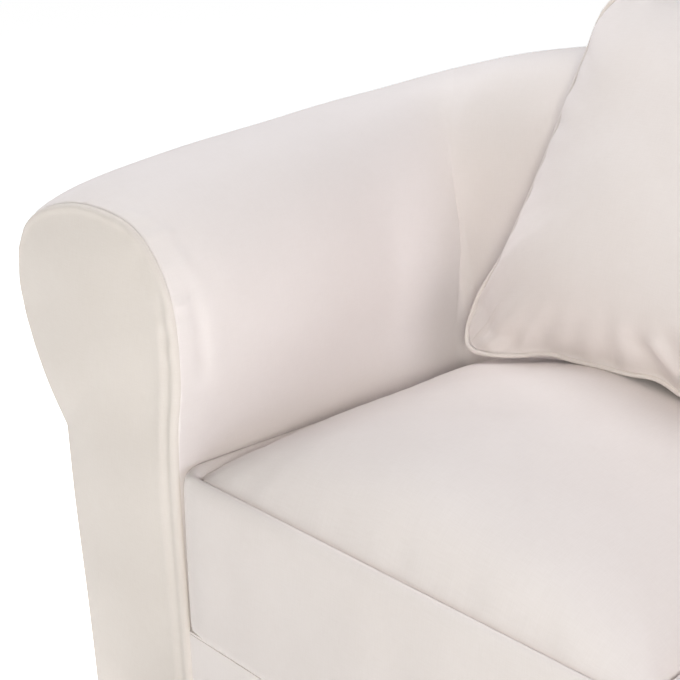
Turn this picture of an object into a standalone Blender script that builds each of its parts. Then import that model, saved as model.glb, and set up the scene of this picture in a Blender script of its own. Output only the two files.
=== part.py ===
"""Slipcover set for a two-seat sofa with rolled arms.

The sofa's own frame is left out, so the cover is hollow: it stands in the shape that it has when it is
drawn over the sofa. Inside-arm and inside-back panels run up from the seat deck and over one continuous
roll to a waist, where the outside panels start and hang to the hem. A shaped panel closes the front of
each arm. Two box cushions lie on the deck and two knife-edge cushions with piping lean on the back.

Metres, +Z up, the hem at z = 0, the front at -Y, and x = 0 in the middle. "Out" is the distance from the
inside face of an arm or the back, away from the seat, and "up" is the height above the seat's top seam.
"""

import bpy
import numpy as np

# Driving sizes
INNER_WIDTH = 1.220
INNER_DEPTH = 0.524
FRONT_Y = -0.4305
SEAM_HEIGHT = 0.440
DECK_HEIGHT = 0.226
CLOTH = 0.0025
GAP = 0.0003
MITRE_GAP = 0.0005
WAIST_GAP = 0.0010

# How the section changes on its way round from the front of an arm to the middle of the back. Where it
# changes is given in stations; plan() says what those are
INNER_FILLET = 0.022
ARM_RISE = 0.047
ARM_RISE_LENGTH = 0.28
CORNER_CROWN = 0.085
CORNER_RISE_STATIONS = (0.8, 2.0)
BACK_CROWN = 0.165
BACK_RISE_STATIONS = (1.6, 3.0)
LIFT_FROM = -0.20
LIFT_TO = 0.15
SWELL_LENGTH = 0.025
ARM_FLARE = 0.16
FLARE_STATIONS = (0.1, 1.0)
FLARE_END_STATIONS = (2.0, 2.6)
BACK_LEAN = 0.17
LEAN_LENGTH = 0.10
LEAN_SPREAD = 1.2
ROLL_DEPTH = 0.15
MITRES = (1.5, 4.5)

# Where the panels' points stand. The last two lists go on to the middle of the back and are mirrored there
ARM_INSIDE_STATIONS = (0.0, 0.012, 0.03, 0.06, 0.12, 0.25, 0.42, 0.60, 0.80, 1.0, 1.17, 1.34, MITRES[0])
ARM_OUTSIDE_STATIONS = (0.0, 0.05, 0.2, 0.6, 1.0, 1.17, 1.34, MITRES[0])
BACK_INSIDE_STATIONS = (MITRES[0], 1.66, 1.83, 2.0, 2.12, 2.3, 2.55, 2.8)
BACK_OUTSIDE_STATIONS = (MITRES[0], 1.66, 1.83, 2.0, 2.3, 2.65)

# The section over an arm or the back: where it is at the front seam, how far it swells behind that seam,
# and how much of an arm's flare it takes
INSIDE_ROWS = (
    # name, out, up, swell, flare
    ("deck", 0.000, DECK_HEIGHT + GAP - SEAM_HEIGHT, 0.000, 0.0),
    ("seat line", 0.000, 0.000, 0.000, 1.0),
    ("inside face", -0.011, 0.110, 0.002, 1.0),
    ("inside roll", -0.006, 0.190, 0.007, 1.0),
    ("inside brow", 0.018, 0.240, 0.011, 0.8),
    ("brow", 0.060, 0.272, 0.012, 0.6),
    ("crown", 0.125, 0.280, 0.013, 0.4),
    ("outer brow", 0.190, 0.271, 0.012, 0.2),
    ("shoulder", 0.250, 0.245, 0.010, 0.0),
    ("outer roll", 0.280, 0.206, 0.008, 0.0),
    ("bulge", 0.288, 0.150, 0.005, 0.0),
    ("under roll", 0.274, 0.090, 0.002, 0.0),
    ("tuck", 0.247, 0.033, 0.000, 0.0),
    ("waist", 0.213, -0.015, 0.000, 0.0),
)
OUTSIDE_ROWS = (
    # name, out, up, swell, flare
    ("waist", 0.213, -0.015, 0.000, 0.0),
    ("outside face", 0.211, -0.120, 0.002, 0.0),
    ("rail", 0.202, -0.280, 0.002, 0.0),
    ("hem", 0.196, -SEAM_HEIGHT, 0.000, 0.0),
)
# The inner edge of an arm's front panel below the deck
FRONT_FOOT_ROWS = (
    # name, out, up
    ("hem", -0.008, -SEAM_HEIGHT),
    ("rail", -0.006, -0.300),
)
# The front panel's fullness, where its middle is in out and up, and the rings of points round that middle
FRONT_PILLOW = 0.012
FRONT_MIDDLE = (0.115, 0.090)
FRONT_RINGS = (0.45, 0.75, 0.92, 1.0)
SECTION_STEPS = 2

# Seat cushions
SEAT_SIDE_GAP = 0.003
SEAT_MIDDLE_GAP = 0.004
SEAT_BACK_GAP = 0.006
SEAT_FRONT_OUT = 0.004
SEAT_CROWN = 0.105
SEAT_PITCH = 0.080
SEAT_SWELL_BACK = 0.148
SEAT_SIDE_INSET = 0.024
SEAT_END_INSET = 0.008
SEAT_CORNER_POWER = 40.0
SEAT_ARCH = (1.65, 6.76)
SEAT_FULLNESS = 0.62
SEAT_TOP_RINGS = (0.35, 0.62, 0.80, 0.91, 0.97, 1.0)
SEAT_BOX_ROWS = (
    # name, share of the way down from the top seam to the bottom seam, inset
    ("top roll", 0.04, 0.004),
    ("box", 0.20, 0.000),
    ("box foot", 0.85, 0.000),
    ("bottom roll", 0.97, 0.004),
)
SEAT_BOTTOM_RINGS = (1.0, 0.6)

# Back cushions and their piping
BACK_CUSHION_WIDTH = 0.546
BACK_CUSHION_HEIGHT = 0.517
BACK_CUSHION_THICKNESS = 0.196
BACK_CUSHION_TILT = 0.34
BACK_CUSHION_TURN = 0.06
BACK_CUSHION_TAPER = 0.23
BACK_CUSHION_X = 0.283
BACK_CUSHION_FOOT_Y = -0.026
BACK_CUSHION_FOOT_Z = 0.447
BACK_CORNER_POWER = 14.0
BACK_ARCH = (2.6, 3.4)
BACK_FULLNESS = 1.05
SIDE_DRAW = 0.012
TOP_DRAW = 0.013
FOOT_DRAW = 0.002
BACK_RINGS = (0.35, 0.62, 0.80, 0.91, 0.97)
EDGE_HALF = 0.0012
PIPING_RADIUS = 0.003
PIPING_SIDES = 6
REST_GAP = 0.0006
PIPING_GAP = 0.0022
PIPING_CLEAR = 1.6 * PIPING_RADIUS + REST_GAP
SEAM_CLEAR = PIPING_CLEAR + PIPING_RADIUS + PIPING_GAP
INSIDE_SWELL = 0.0151
OVER_ROLL = 1.2

# How closely a cushion's face keeps to its arch before it drops to the seam
SEAM_POWER = 30

# Where points stand along each side of a cushion, from its middle (0) towards its corner (1)
SIDE_STATIONS = (-1.0, -0.95, -0.86, -0.66, -0.34, 0.0, 0.34, 0.66, 0.86, 0.95)

ARM_X = -0.5 * INNER_WIDTH
BACK_Y = FRONT_Y + INNER_DEPTH
ROLL_TOP = BACK_CROWN + max(row[2] for row in INSIDE_ROWS)

CANVAS = (0.72, 0.67, 0.61)
CANVAS_SHADE = (0.68, 0.62, 0.56)
PIPING = (0.74, 0.67, 0.58)


def clear_scene():
    """Remove every object of the open file."""
    for old in list(bpy.data.objects):
        bpy.data.objects.remove(old, do_unlink=True)


def make_material(name, colour, roughness):
    """A plain woven-cloth finish."""
    material = bpy.data.materials.new(name)
    material.use_nodes = True
    shader = material.node_tree.nodes["Principled BSDF"]
    shader.inputs["Base Color"].default_value = (*colour, 1.0)
    shader.inputs["Roughness"].default_value = roughness
    shader.inputs["Metallic"].default_value = 0.0
    return material


def add_solid(name, points, faces, colour, roughness=0.92):
    """One closed mesh object from points and faces, shaded smooth but for its edges."""
    mesh = bpy.data.meshes.new(name)
    mesh.from_pydata([tuple(map(float, p)) for p in points], [], [tuple(map(int, f)) for f in faces])
    mesh.validate()
    mesh.shade_smooth()
    mesh.set_sharp_from_angle(angle=np.radians(50.0))
    solid = bpy.data.objects.new(name, mesh)
    bpy.context.scene.collection.objects.link(solid)
    mesh.materials.append(make_material(name, colour, roughness))
    return solid


def ramp(value, low, high):
    """0 below low, 1 above high, and a smooth S between them."""
    share = np.clip((np.asarray(value, float) - low) / (high - low), 0.0, 1.0)
    return share * share * (3.0 - 2.0 * share)


def through_rows(values, steps):
    """A smooth line (Catmull-Rom) through a table's rows, with so many steps from row to row."""
    rows = np.asarray(values, float)
    padded = np.vstack([2 * rows[0] - rows[1], rows, 2 * rows[-1] - rows[-2]])
    samples = []
    for k in range(len(rows) - 1):
        before, here, there, beyond = padded[k : k + 4]
        for t in np.arange(steps) / steps:
            samples.append(
                0.5
                * (
                    2 * here
                    + (there - before) * t
                    + (2 * before - 5 * here + 4 * there - beyond) * t**2
                    + (3 * here - before - 3 * there + beyond) * t**3
                )
            )
    samples.append(rows[-1])
    return np.array(samples)


def section(rows, steps=SECTION_STEPS):
    """Out, up, swell and flare along a table of section rows, and the section's outward direction."""
    line = through_rows([row[1:] for row in rows], steps)
    along = np.gradient(line[:, :2], axis=0)
    along /= np.linalg.norm(along, axis=1)[:, None]
    facing = np.stack([-along[:, 1], along[:, 0]], axis=1)
    return line, facing


def plan(station):
    """The inside line in plan: a point on it and its outward direction.

    station runs from 0 at the front of the left arm to 1 where its corner starts, to 2 at the end of the
    corner's fillet, and to 3 in the middle of the back. Past 3 it mirrors, down to 6 at the right arm's front.
    """
    right_side = station > 3.0
    s = 6.0 - station if right_side else station
    straight = INNER_DEPTH - INNER_FILLET
    centre = np.array([ARM_X + INNER_FILLET, BACK_Y - INNER_FILLET])
    angle = np.clip(s - 1.0, 0.0, 1.0) * np.pi / 2.0
    facing = np.array([-np.cos(angle), np.sin(angle)])
    point = centre + INNER_FILLET * facing
    point[1] -= straight * (1.0 - min(s, 1.0))
    point[0] += (0.0 - centre[0]) * max(s - 2.0, 0.0)
    if right_side:
        return point * (-1.0, 1.0), facing * (-1.0, 1.0)
    return point, facing


def mirrored(stations):
    """The same stations on the other side of the sofa, in rising order."""
    return tuple(6.0 - station for station in reversed(stations))


def crown_rise(station):
    """How far the roll has risen above its height at the arm's front seam."""
    s = min(station, 6.0 - station)
    depth = INNER_DEPTH * min(s, 1.0)
    arm = ARM_RISE * (1.0 - np.exp(-depth / ARM_RISE_LENGTH))
    corner = (CORNER_CROWN - arm) * ramp(s, *CORNER_RISE_STATIONS)
    back = (BACK_CROWN - CORNER_CROWN) * ramp(s, *BACK_RISE_STATIONS)
    return arm + corner + back


def cover_point(line, facing, station):
    """Points of the cover's outer face along one section, at one station."""
    s = min(station, 6.0 - station)
    base, away = plan(station)
    swell = line[:, 2] * (1.0 - np.exp(-s * INNER_DEPTH / SWELL_LENGTH))
    out = line[:, 0] + swell * facing[:, 0]
    up = line[:, 1] + swell * facing[:, 1]
    up = up + crown_rise(station) * ramp(up, LIFT_FROM, LIFT_TO)
    above_seat = np.clip(up, 0.0, None)
    flared = ramp(s, *FLARE_STATIONS) * (1.0 - ramp(s, *FLARE_END_STATIONS))
    flare = ARM_FLARE * line[:, 3] * above_seat * flared
    lean_length = LEAN_LENGTH + LEAN_SPREAD * np.clip(out, 0.0, ROLL_DEPTH)
    lean = BACK_LEAN * above_seat * ramp(abs(ARM_X) - abs(base[0]), 0.0, lean_length)
    x = base[0] + out * away[0] - np.copysign(flare, 3.0 - station)
    y = base[1] + out * away[1] + lean
    return np.stack([x, y, SEAM_HEIGHT + up], axis=1)


def cover_grid(rows, stations):
    """The outer face over a run of stations, and its outward directions. It stops just short of a mitre."""
    line, facing = section(rows)
    small = 1e-3
    face = np.array([cover_point(line, facing, s) for s in stations])
    along = np.array(
        [
            cover_point(line, facing, min(s + small, 6.0)) - cover_point(line, facing, max(s - small, 0.0))
            for s in stations
        ]
    )
    over = np.gradient(face, axis=1)
    outward = np.cross(along, over)
    outward /= np.linalg.norm(outward, axis=2)[:, :, None]
    for end, inward in ((0, 1.0), (-1, -1.0)):
        if stations[end] in MITRES:
            _, away = plan(stations[end])
            face[end] += inward * MITRE_GAP * np.array([away[1], -away[0], 0.0])
    return face, outward


def cloth_from_grid(name, face, outward, colour):
    """A sheet of cloth: the face, the same grid one cloth thickness behind it, and a strip round the edge."""
    rows, columns = face.shape[:2]
    points = np.concatenate([face.reshape(-1, 3), (face - CLOTH * outward).reshape(-1, 3)])
    index = np.arange(rows * columns).reshape(rows, columns)
    a, b, c, d = index[:-1, :-1], index[1:, :-1], index[1:, 1:], index[:-1, 1:]
    front = np.stack([a, b, c, d], axis=2).reshape(-1, 4)
    back = front[:, [0, 3, 2, 1]] + rows * columns
    rim = np.concatenate([index[:, 0], index[-1, 1:], index[-2::-1, -1], index[0, -2:0:-1]])
    after = np.roll(rim, -1)
    strip = np.stack([rim, rim + rows * columns, after + rows * columns, after], axis=1)
    return add_solid(name, points, np.concatenate([front, back, strip]), colour)


def inside_panels():
    """Inside arms and inside back: from the deck, over the roll, down to the waist."""
    stations = {
        "arm_inside_left": ARM_INSIDE_STATIONS,
        "arm_inside_right": mirrored(ARM_INSIDE_STATIONS),
        "back_inside": (*BACK_INSIDE_STATIONS, 3.0, *mirrored(BACK_INSIDE_STATIONS)),
    }
    for name, run in stations.items():
        face, outward = cover_grid(INSIDE_ROWS, run)
        cloth_from_grid(name, face, outward, CANVAS)


def outside_panels():
    """Outside arms and outside back: from just under the waist to the hem."""
    stations = {
        "arm_outside_left": ARM_OUTSIDE_STATIONS,
        "arm_outside_right": mirrored(ARM_OUTSIDE_STATIONS),
        "back_outside": (*BACK_OUTSIDE_STATIONS, 3.0, *mirrored(BACK_OUTSIDE_STATIONS)),
    }
    for name, run in stations.items():
        face, outward = cover_grid(OUTSIDE_ROWS, run)
        face[:, 0, 2] -= WAIST_GAP
        cloth_from_grid(name, face, outward, CANVAS_SHADE)


def front_outline():
    """The outline of an arm's front panel in out and up, from its inner hem corner over the roll."""
    foot = [row[1:3] for row in FRONT_FOOT_ROWS]
    inside = [row[1:3] for row in INSIDE_ROWS[1:]]
    outside = [row[1:3] for row in OUTSIDE_ROWS]
    return np.vstack(
        [through_rows(foot + inside, SECTION_STEPS)[:-1], through_rows(outside, 1)]
    )


def front_panels():
    """The panels that close the arms' fronts, filled out a little towards their middle."""
    outline = front_outline()
    middle = np.array(FRONT_MIDDLE)
    count = len(outline)
    for side, name in ((1.0, "arm_front_left"), (-1.0, "arm_front_right")):
        points = []
        for behind in (0.0, CLOTH):
            for ring in FRONT_RINGS:
                flat = middle + ring * (outline - middle)
                swell = FRONT_PILLOW * (1.0 - ring**2)
                for out, up in flat:
                    points.append((side * (ARM_X - out), -swell + behind, SEAM_HEIGHT + up))
            points.append((side * (ARM_X - middle[0]), -FRONT_PILLOW + behind, SEAM_HEIGHT + middle[1]))
        points = np.array(points) + (0.0, FRONT_Y - CLOTH - GAP, 0.0)
        layer = count * len(FRONT_RINGS) + 1
        faces = []
        for j in range(count):
            k = (j + 1) % count
            faces.append((layer - 1, j, k))
            faces.append((2 * layer - 1, layer + k, layer + j))
            for ring in range(len(FRONT_RINGS) - 1):
                low, high = ring * count, (ring + 1) * count
                faces.append((low + j, high + j, high + k, low + k))
                faces.append((layer + low + j, layer + low + k, layer + high + k, layer + high + j))
            last = (len(FRONT_RINGS) - 1) * count
            faces.append((last + j, layer + last + j, layer + last + k, last + k))
        faces = [(face[0], *face[:0:-1]) for face in faces] if side < 0.0 else faces
        add_solid(name, points, faces, CANVAS_SHADE)


def flat_cloth(name, low, high, colour):
    """A flat cloth: a thin box between two corners."""
    corners = [(x, y, z) for x in (low[0], high[0]) for y in (low[1], high[1]) for z in (low[2], high[2])]
    faces = [(0, 1, 3, 2), (4, 6, 7, 5), (0, 4, 5, 1), (2, 3, 7, 6), (0, 2, 6, 4), (1, 5, 7, 3)]
    return add_solid(name, corners, faces, colour)


def deck_and_rail():
    """The cloth under the seat cushions, and the panel that hangs from its front edge."""
    reach = -ARM_X + CLOTH
    deck_front = FRONT_Y + GAP
    flat_cloth(
        "seat_deck",
        (-reach, deck_front, DECK_HEIGHT - CLOTH),
        (reach, BACK_Y + CLOTH, DECK_HEIGHT),
        CANVAS,
    )
    flat_cloth(
        "front_rail",
        (-reach, deck_front, 0.0),
        (reach, deck_front + CLOTH, DECK_HEIGHT - CLOTH - GAP),
        CANVAS_SHADE,
    )


def cushion_rim(half_width, half_depth, power):
    """Points round a cushion's plan: a rectangle with rounded corners, in its own flat coordinates."""
    u = np.array(SIDE_STATIONS)
    one = np.ones_like(u)
    square = np.concatenate(
        [np.stack([u, -one], 1), np.stack([one, u], 1), np.stack([-u, one], 1), np.stack([-one, -u], 1)]
    )
    gauge = (np.abs(square) ** power).sum(axis=1) ** (1.0 / power)
    return square / gauge[:, None] * (half_width, half_depth)


def crown_height(across, along, corner_power, arch, fullness):
    """The height of a filled face as a share of its crown.

    across and along run from -1 to 1 between its seams. Each way the face is a flattened arch,
    (1 - |t| ** arch) ** fullness, and the two are multiplied, then brought down to nothing at the seam itself.
    """
    ring = seam_gauge(across, along, corner_power)
    side_arch = np.clip(1.0 - np.abs(across) ** arch[0], 0.0, 1.0)
    end_arch = np.clip(1.0 - np.abs(along) ** arch[1], 0.0, 1.0)
    return (side_arch * end_arch) ** fullness * (1.0 - ring**SEAM_POWER)


def seam_gauge(across, along, corner_power):
    """0 in the middle of a cushion and 1 on its seam, a rectangle with rounded corners."""
    total = np.abs(across) ** corner_power + np.abs(along) ** corner_power
    return np.clip(total ** (1.0 / corner_power), 0.0, 1.0)


def seat_layout():
    """The left seat cushion's middle, its half sizes at the box, and its half sizes at the seams."""
    low = np.array([ARM_X + SEAT_SIDE_GAP, FRONT_Y - SEAT_FRONT_OUT])
    high = np.array([-0.5 * SEAT_MIDDLE_GAP, BACK_Y - SEAT_BACK_GAP])
    half = 0.5 * (high - low)
    return 0.5 * (low + high), half, half - (SEAT_SIDE_INSET, SEAT_END_INSET)


def seat_top(x, y):
    """The height of a seat cushion's top over a point, or of its seam past its edge."""
    middle, _, seam = seat_layout()
    across = (-np.abs(x) - middle[0]) / seam[0]
    along = (y - middle[1]) / seam[1]
    pitch = SEAT_PITCH * (y - (middle[1] - seam[1]))
    crown = crown_height(across, along, SEAT_CORNER_POWER, SEAT_ARCH, SEAT_FULLNESS)
    return SEAM_HEIGHT - pitch + SEAT_CROWN * crown * (1.0 + SEAT_SWELL_BACK * along)


def closed_rings(name, rings, top, bottom, colour):
    """A closed solid from a stack of rings of points, with a point that closes each end."""
    count = len(rings[0])
    points = np.concatenate([*rings, [top], [bottom]])
    first = len(points) - 2
    last = len(points) - 1
    faces = []
    for j in range(count):
        k = (j + 1) % count
        faces.append((first, j, k))
        for low in range(0, count * (len(rings) - 1), count):
            faces.append((low + j, low + count + j, low + count + k, low + k))
        end = count * (len(rings) - 1)
        faces.append((last, end + k, end + j))
    return add_solid(name, points, faces, colour)


def both_sides(name, rings, top, bottom):
    """The left cushion from its rings of points, and its mirror image on the right."""
    closed_rings(name + "_left", rings, top, bottom, CANVAS)
    mirror = (-1.0, 1.0, 1.0)
    turned = [ring[::-1] * mirror for ring in rings]
    closed_rings(name + "_right", turned, top * mirror, bottom * mirror, CANVAS)


def seat_cushions():
    """Box cushions: a crowned top, a box that fills out between its seams, and a flat underside."""
    middle, half, seam = seat_layout()
    floor = DECK_HEIGHT + GAP
    rim = cushion_rim(1.0, 1.0, SEAT_CORNER_POWER)
    rings = []
    for ring in SEAT_TOP_RINGS:
        flat = middle + ring * rim * seam
        rings.append(np.column_stack([flat, seat_top(flat[:, 0], flat[:, 1])]))
    seam_z = rings[-1][:, 2]
    for _, share, inset in SEAT_BOX_ROWS:
        rings.append(np.column_stack([middle + rim * (half - inset), seam_z + share * (floor - seam_z)]))
    for ring in SEAT_BOTTOM_RINGS:
        rings.append(np.column_stack([middle + ring * rim * seam, np.full(len(rim), floor)]))
    top = np.array([*middle, seat_top(*middle)])
    bottom = np.array([*middle, floor])
    both_sides("seat_cushion", rings, top, bottom)


def inside_back_y(z):
    """How far back a cushion may lean at a height: to the inside back's face, and freely above the roll."""
    up = np.clip(z - SEAM_HEIGHT, 0.0, None)
    over = np.clip(z - SEAM_HEIGHT - ROLL_TOP, 0.0, None)
    return BACK_Y - INSIDE_SWELL + BACK_LEAN * up + OVER_ROLL * over


def lean_back_cushion(across, height, depth):
    """A back cushion's own coordinates (across, up its height, and to the rear) tilted into place."""
    across = across * (1.0 - BACK_CUSHION_TAPER * height / BACK_CUSHION_HEIGHT)
    side = np.cos(BACK_CUSHION_TURN) * across + np.sin(BACK_CUSHION_TURN) * height
    rise = np.cos(BACK_CUSHION_TURN) * height - np.sin(BACK_CUSHION_TURN) * across
    y = BACK_CUSHION_FOOT_Y + np.sin(BACK_CUSHION_TILT) * rise + np.cos(BACK_CUSHION_TILT) * depth
    z = BACK_CUSHION_FOOT_Z + np.cos(BACK_CUSHION_TILT) * rise - np.sin(BACK_CUSHION_TILT) * depth
    return side - BACK_CUSHION_X, y, z


def place_back_cushion(across, height, depth, clear=REST_GAP):
    """Points of the left back cushion, stood on the seat cushion's crown and stopped by the inside back."""
    foot_x, foot_y, foot_z = lean_back_cushion(across, 0.0, 0.0)
    lift = seat_top(foot_x, foot_y) + SEAM_CLEAR - foot_z
    x, y, z = lean_back_cushion(across, height, depth)
    z = z + lift * (1.0 - height / BACK_CUSHION_HEIGHT)
    y = np.minimum(y, inside_back_y(z) - clear)
    z = np.maximum(z, seat_top(x, y) + clear)
    return np.stack([x, y, z], axis=-1)


def back_rim(grow=0.0):
    """A back cushion's seam line: corners that stand out, and sides drawn in between them."""
    rim = cushion_rim(1.0, 1.0, BACK_CORNER_POWER)
    half = 0.5 * np.array([BACK_CUSHION_WIDTH, BACK_CUSHION_HEIGHT])
    side_draw = SIDE_DRAW * (1.0 - rim[:, 1] ** 2) ** 2
    across = 1.0 - rim[:, 0] ** 2
    end_draw = np.where(rim[:, 1] > 0.0, TOP_DRAW * across, FOOT_DRAW * across**2)
    return rim * (half - np.column_stack([side_draw, end_draw]) + grow)


def back_cushions():
    """Knife-edge cushions: two crowned faces that meet in one seam, leaning on the inside back."""
    rim = back_rim()
    plain = cushion_rim(1.0, 1.0, BACK_CORNER_POWER)
    up = 0.5 * BACK_CUSHION_HEIGHT
    rings = []
    for side, shares in ((-1.0, BACK_RINGS), (1.0, BACK_RINGS[::-1])):
        for share in shares:
            crown = crown_height(*(share * plain.T), BACK_CORNER_POWER, BACK_ARCH, BACK_FULLNESS)
            depth = side * (EDGE_HALF + 0.5 * BACK_CUSHION_THICKNESS * crown)
            rings.append(place_back_cushion(share * rim[:, 0], up + share * rim[:, 1], depth))
        if side < 0.0:
            for half in (-EDGE_HALF, EDGE_HALF):
                rings.append(
                    place_back_cushion(rim[:, 0], up + rim[:, 1], np.full(len(rim), half), PIPING_CLEAR)
                )
    reach = EDGE_HALF + 0.5 * BACK_CUSHION_THICKNESS
    front = place_back_cushion(0.0, up, -reach)
    rear = place_back_cushion(0.0, up, reach)
    both_sides("back_cushion", rings, front, rear)


def back_cushion_piping():
    """A cord covered in the same cloth, all round each back cushion's seam."""
    up = 0.5 * BACK_CUSHION_HEIGHT
    rim = back_rim(PIPING_RADIUS + PIPING_GAP)
    count = len(rim)
    path = place_back_cushion(rim[:, 0], up + rim[:, 1], np.zeros(count), PIPING_CLEAR)
    along = np.roll(path, -1, axis=0) - np.roll(path, 1, axis=0)
    along /= np.linalg.norm(along, axis=1)[:, None]
    rear = np.array([0.0, np.cos(BACK_CUSHION_TILT), -np.sin(BACK_CUSHION_TILT)])
    side_way = np.cross(along, rear)
    side_way /= np.linalg.norm(side_way, axis=1)[:, None]
    other_way = np.cross(side_way, along)
    turn = np.arange(PIPING_SIDES) * 2.0 * np.pi / PIPING_SIDES
    tube = (
        path[:, None]
        + PIPING_RADIUS * np.cos(turn)[None, :, None] * side_way[:, None]
        + PIPING_RADIUS * np.sin(turn)[None, :, None] * other_way[:, None]
    )
    faces = []
    for j in range(count):
        k = (j + 1) % count
        for s in range(PIPING_SIDES):
            t = (s + 1) % PIPING_SIDES
            faces.append(tuple(PIPING_SIDES * a + b for a, b in ((j, s), (k, s), (k, t), (j, t))))
    for side, name in ((1.0, "back_cushion_piping_left"), (-1.0, "back_cushion_piping_right")):
        points = tube.reshape(-1, 3) * (side, 1.0, 1.0)
        add_solid(name, points, faces if side > 0.0 else [face[::-1] for face in faces], PIPING, 0.85)


clear_scene()
front_panels()
inside_panels()
outside_panels()
deck_and_rail()
seat_cushions()
back_cushions()
back_cushion_piping()
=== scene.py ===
"""The looks of a slipcover set for a two-seat sofa with rolled arms.

Every piece is a surface worked out from the same named sizes as the part's solids, on a finer grid and with
its seams, rolled edges, folds and puckers. Metres, +Z up, the hem at z = 0, the front at -Y. "Out" is the
distance from the inside face of an arm or the back, away from the seat, and "up" is the height above the
seat's top seam.
"""

import bpy
import numpy as np
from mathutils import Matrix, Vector


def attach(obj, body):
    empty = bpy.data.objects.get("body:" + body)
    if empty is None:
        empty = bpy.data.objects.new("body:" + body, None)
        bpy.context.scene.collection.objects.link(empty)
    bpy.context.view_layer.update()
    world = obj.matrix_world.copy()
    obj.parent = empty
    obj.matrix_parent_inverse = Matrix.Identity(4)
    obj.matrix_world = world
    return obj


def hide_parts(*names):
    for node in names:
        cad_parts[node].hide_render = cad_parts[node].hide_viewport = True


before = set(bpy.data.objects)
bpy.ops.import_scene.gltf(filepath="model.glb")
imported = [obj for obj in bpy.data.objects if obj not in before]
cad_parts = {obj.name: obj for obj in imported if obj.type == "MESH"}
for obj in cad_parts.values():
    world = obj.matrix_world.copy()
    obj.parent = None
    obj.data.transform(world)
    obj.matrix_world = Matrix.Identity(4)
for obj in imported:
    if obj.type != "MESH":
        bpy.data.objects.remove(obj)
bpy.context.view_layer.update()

# ---------------------------------------------------------------- sizes shared with the solids
INNER_WIDTH = 1.220
INNER_DEPTH = 0.524
FRONT_Y = -0.4305
SEAM_HEIGHT = 0.440
DECK_HEIGHT = 0.226
CLOTH = 0.0025
GAP = 0.0003
WAIST_GAP = 0.0004

INNER_FILLET = 0.022
ARM_RISE = 0.047
ARM_RISE_LENGTH = 0.28
CORNER_CROWN = 0.085
CORNER_RISE_STATIONS = (0.8, 2.0)
BACK_CROWN = 0.165
BACK_RISE_STATIONS = (1.6, 3.0)
LIFT_FROM = -0.20
LIFT_TO = 0.15
SWELL_LENGTH = 0.025
ARM_FLARE = 0.16
FLARE_STATIONS = (0.1, 1.0)
FLARE_END_STATIONS = (2.0, 2.6)
BACK_LEAN = 0.17
LEAN_LENGTH = 0.10
LEAN_SPREAD = 1.2
ROLL_DEPTH = 0.15
MITRE = 1.5

INSIDE_ROWS = (
    # out, up, swell, flare
    (0.000, DECK_HEIGHT + GAP - SEAM_HEIGHT, 0.000, 0.0),
    (0.000, 0.000, 0.000, 1.0),
    (-0.011, 0.110, 0.002, 1.0),
    (-0.006, 0.190, 0.007, 1.0),
    (0.018, 0.240, 0.011, 0.8),
    (0.060, 0.272, 0.012, 0.6),
    (0.125, 0.280, 0.013, 0.4),
    (0.190, 0.271, 0.012, 0.2),
    (0.250, 0.245, 0.010, 0.0),
    (0.280, 0.206, 0.008, 0.0),
    (0.288, 0.150, 0.005, 0.0),
    (0.274, 0.090, 0.002, 0.0),
    (0.247, 0.033, 0.000, 0.0),
    (0.213, -0.015, 0.000, 0.0),
)
OUTSIDE_ROWS = (
    # out, up, swell, flare
    (0.213, -0.015, 0.000, 0.0),
    (0.211, -0.120, 0.002, 0.0),
    (0.202, -0.280, 0.002, 0.0),
    (0.196, -SEAM_HEIGHT, 0.000, 0.0),
)
FRONT_FOOT_ROWS = ((-0.008, -SEAM_HEIGHT), (-0.006, -0.300))
FRONT_PILLOW = 0.012
FRONT_MIDDLE = (0.115, 0.090)

SEAT_SIDE_GAP = 0.003
SEAT_MIDDLE_GAP = 0.004
SEAT_BACK_GAP = 0.006
SEAT_FRONT_OUT = 0.004
SEAT_CROWN = 0.105
SEAT_PITCH = 0.080
SEAT_SWELL_BACK = 0.148
SEAT_SIDE_INSET = 0.024
SEAT_END_INSET = 0.008
SEAT_CORNER_POWER = 40.0
SEAT_ARCH = (1.65, 6.76)
SEAT_FULLNESS = 0.62
SEAM_POWER = 30
SOFT_MIDDLE = 0.004

BACK_WIDTH = 0.546
BACK_HEIGHT = 0.517
BACK_THICKNESS = 0.196
BACK_TILT = 0.34
BACK_TURN = 0.06
BACK_TAPER = 0.23
BACK_X = 0.283
BACK_FOOT_Y = -0.026
BACK_FOOT_Z = 0.447
BACK_CORNER_POWER = 6.0
BACK_ARCH = (2.6, 3.4)
BACK_FULLNESS = 1.05
SIDE_DRAW = 0.012
TOP_DRAW = 0.013
FOOT_DRAW = 0.002
UPPER_DRAW = 0.014
UPPER_FROM, UPPER_TO = (0.10, 0.16), (0.02, 0.10)
UPPER_FULLNESS = 0.70
FULLNESS_HEIGHTS = (0.08, 0.18)
BACK_SEAM_REACH = 0.25
EDGE_HALF = 0.0012
PIPING_RADIUS = 0.003
REST_GAP = 0.0006
PIPING_CLEAR = 0.0036
SEAM_CLEAR = 0.0068
INSIDE_SWELL = 0.0151
OVER_ROLL = 1.2

ARM_X = -0.5 * INNER_WIDTH
BACK_Y = FRONT_Y + INNER_DEPTH
ROLL_TOP = BACK_CROWN + max(row[1] for row in INSIDE_ROWS)

# ---------------------------------------------------------------- fineness
SECTION_STEPS = 13
OUTSIDE_STEPS = 40
FRONT_STEPS = 10

# ---------------------------------------------------------------- small tools


def ramp(value, low, high):
    """0 below low, 1 above high, and 3t^2 - 2t^3 between them."""
    share = np.clip((np.asarray(value, float) - low) / (high - low), 0.0, 1.0)
    return share * share * (3.0 - 2.0 * share)


def fade(value, low, high):
    """1 below low, 0 above high, and one less the ramp between them."""
    return 1.0 - ramp(value, low, high)


def bell(value, middle, width):
    """exp(-((value - middle) / width)^2)."""
    return np.exp(-(((value - middle) / width) ** 2))


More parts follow.
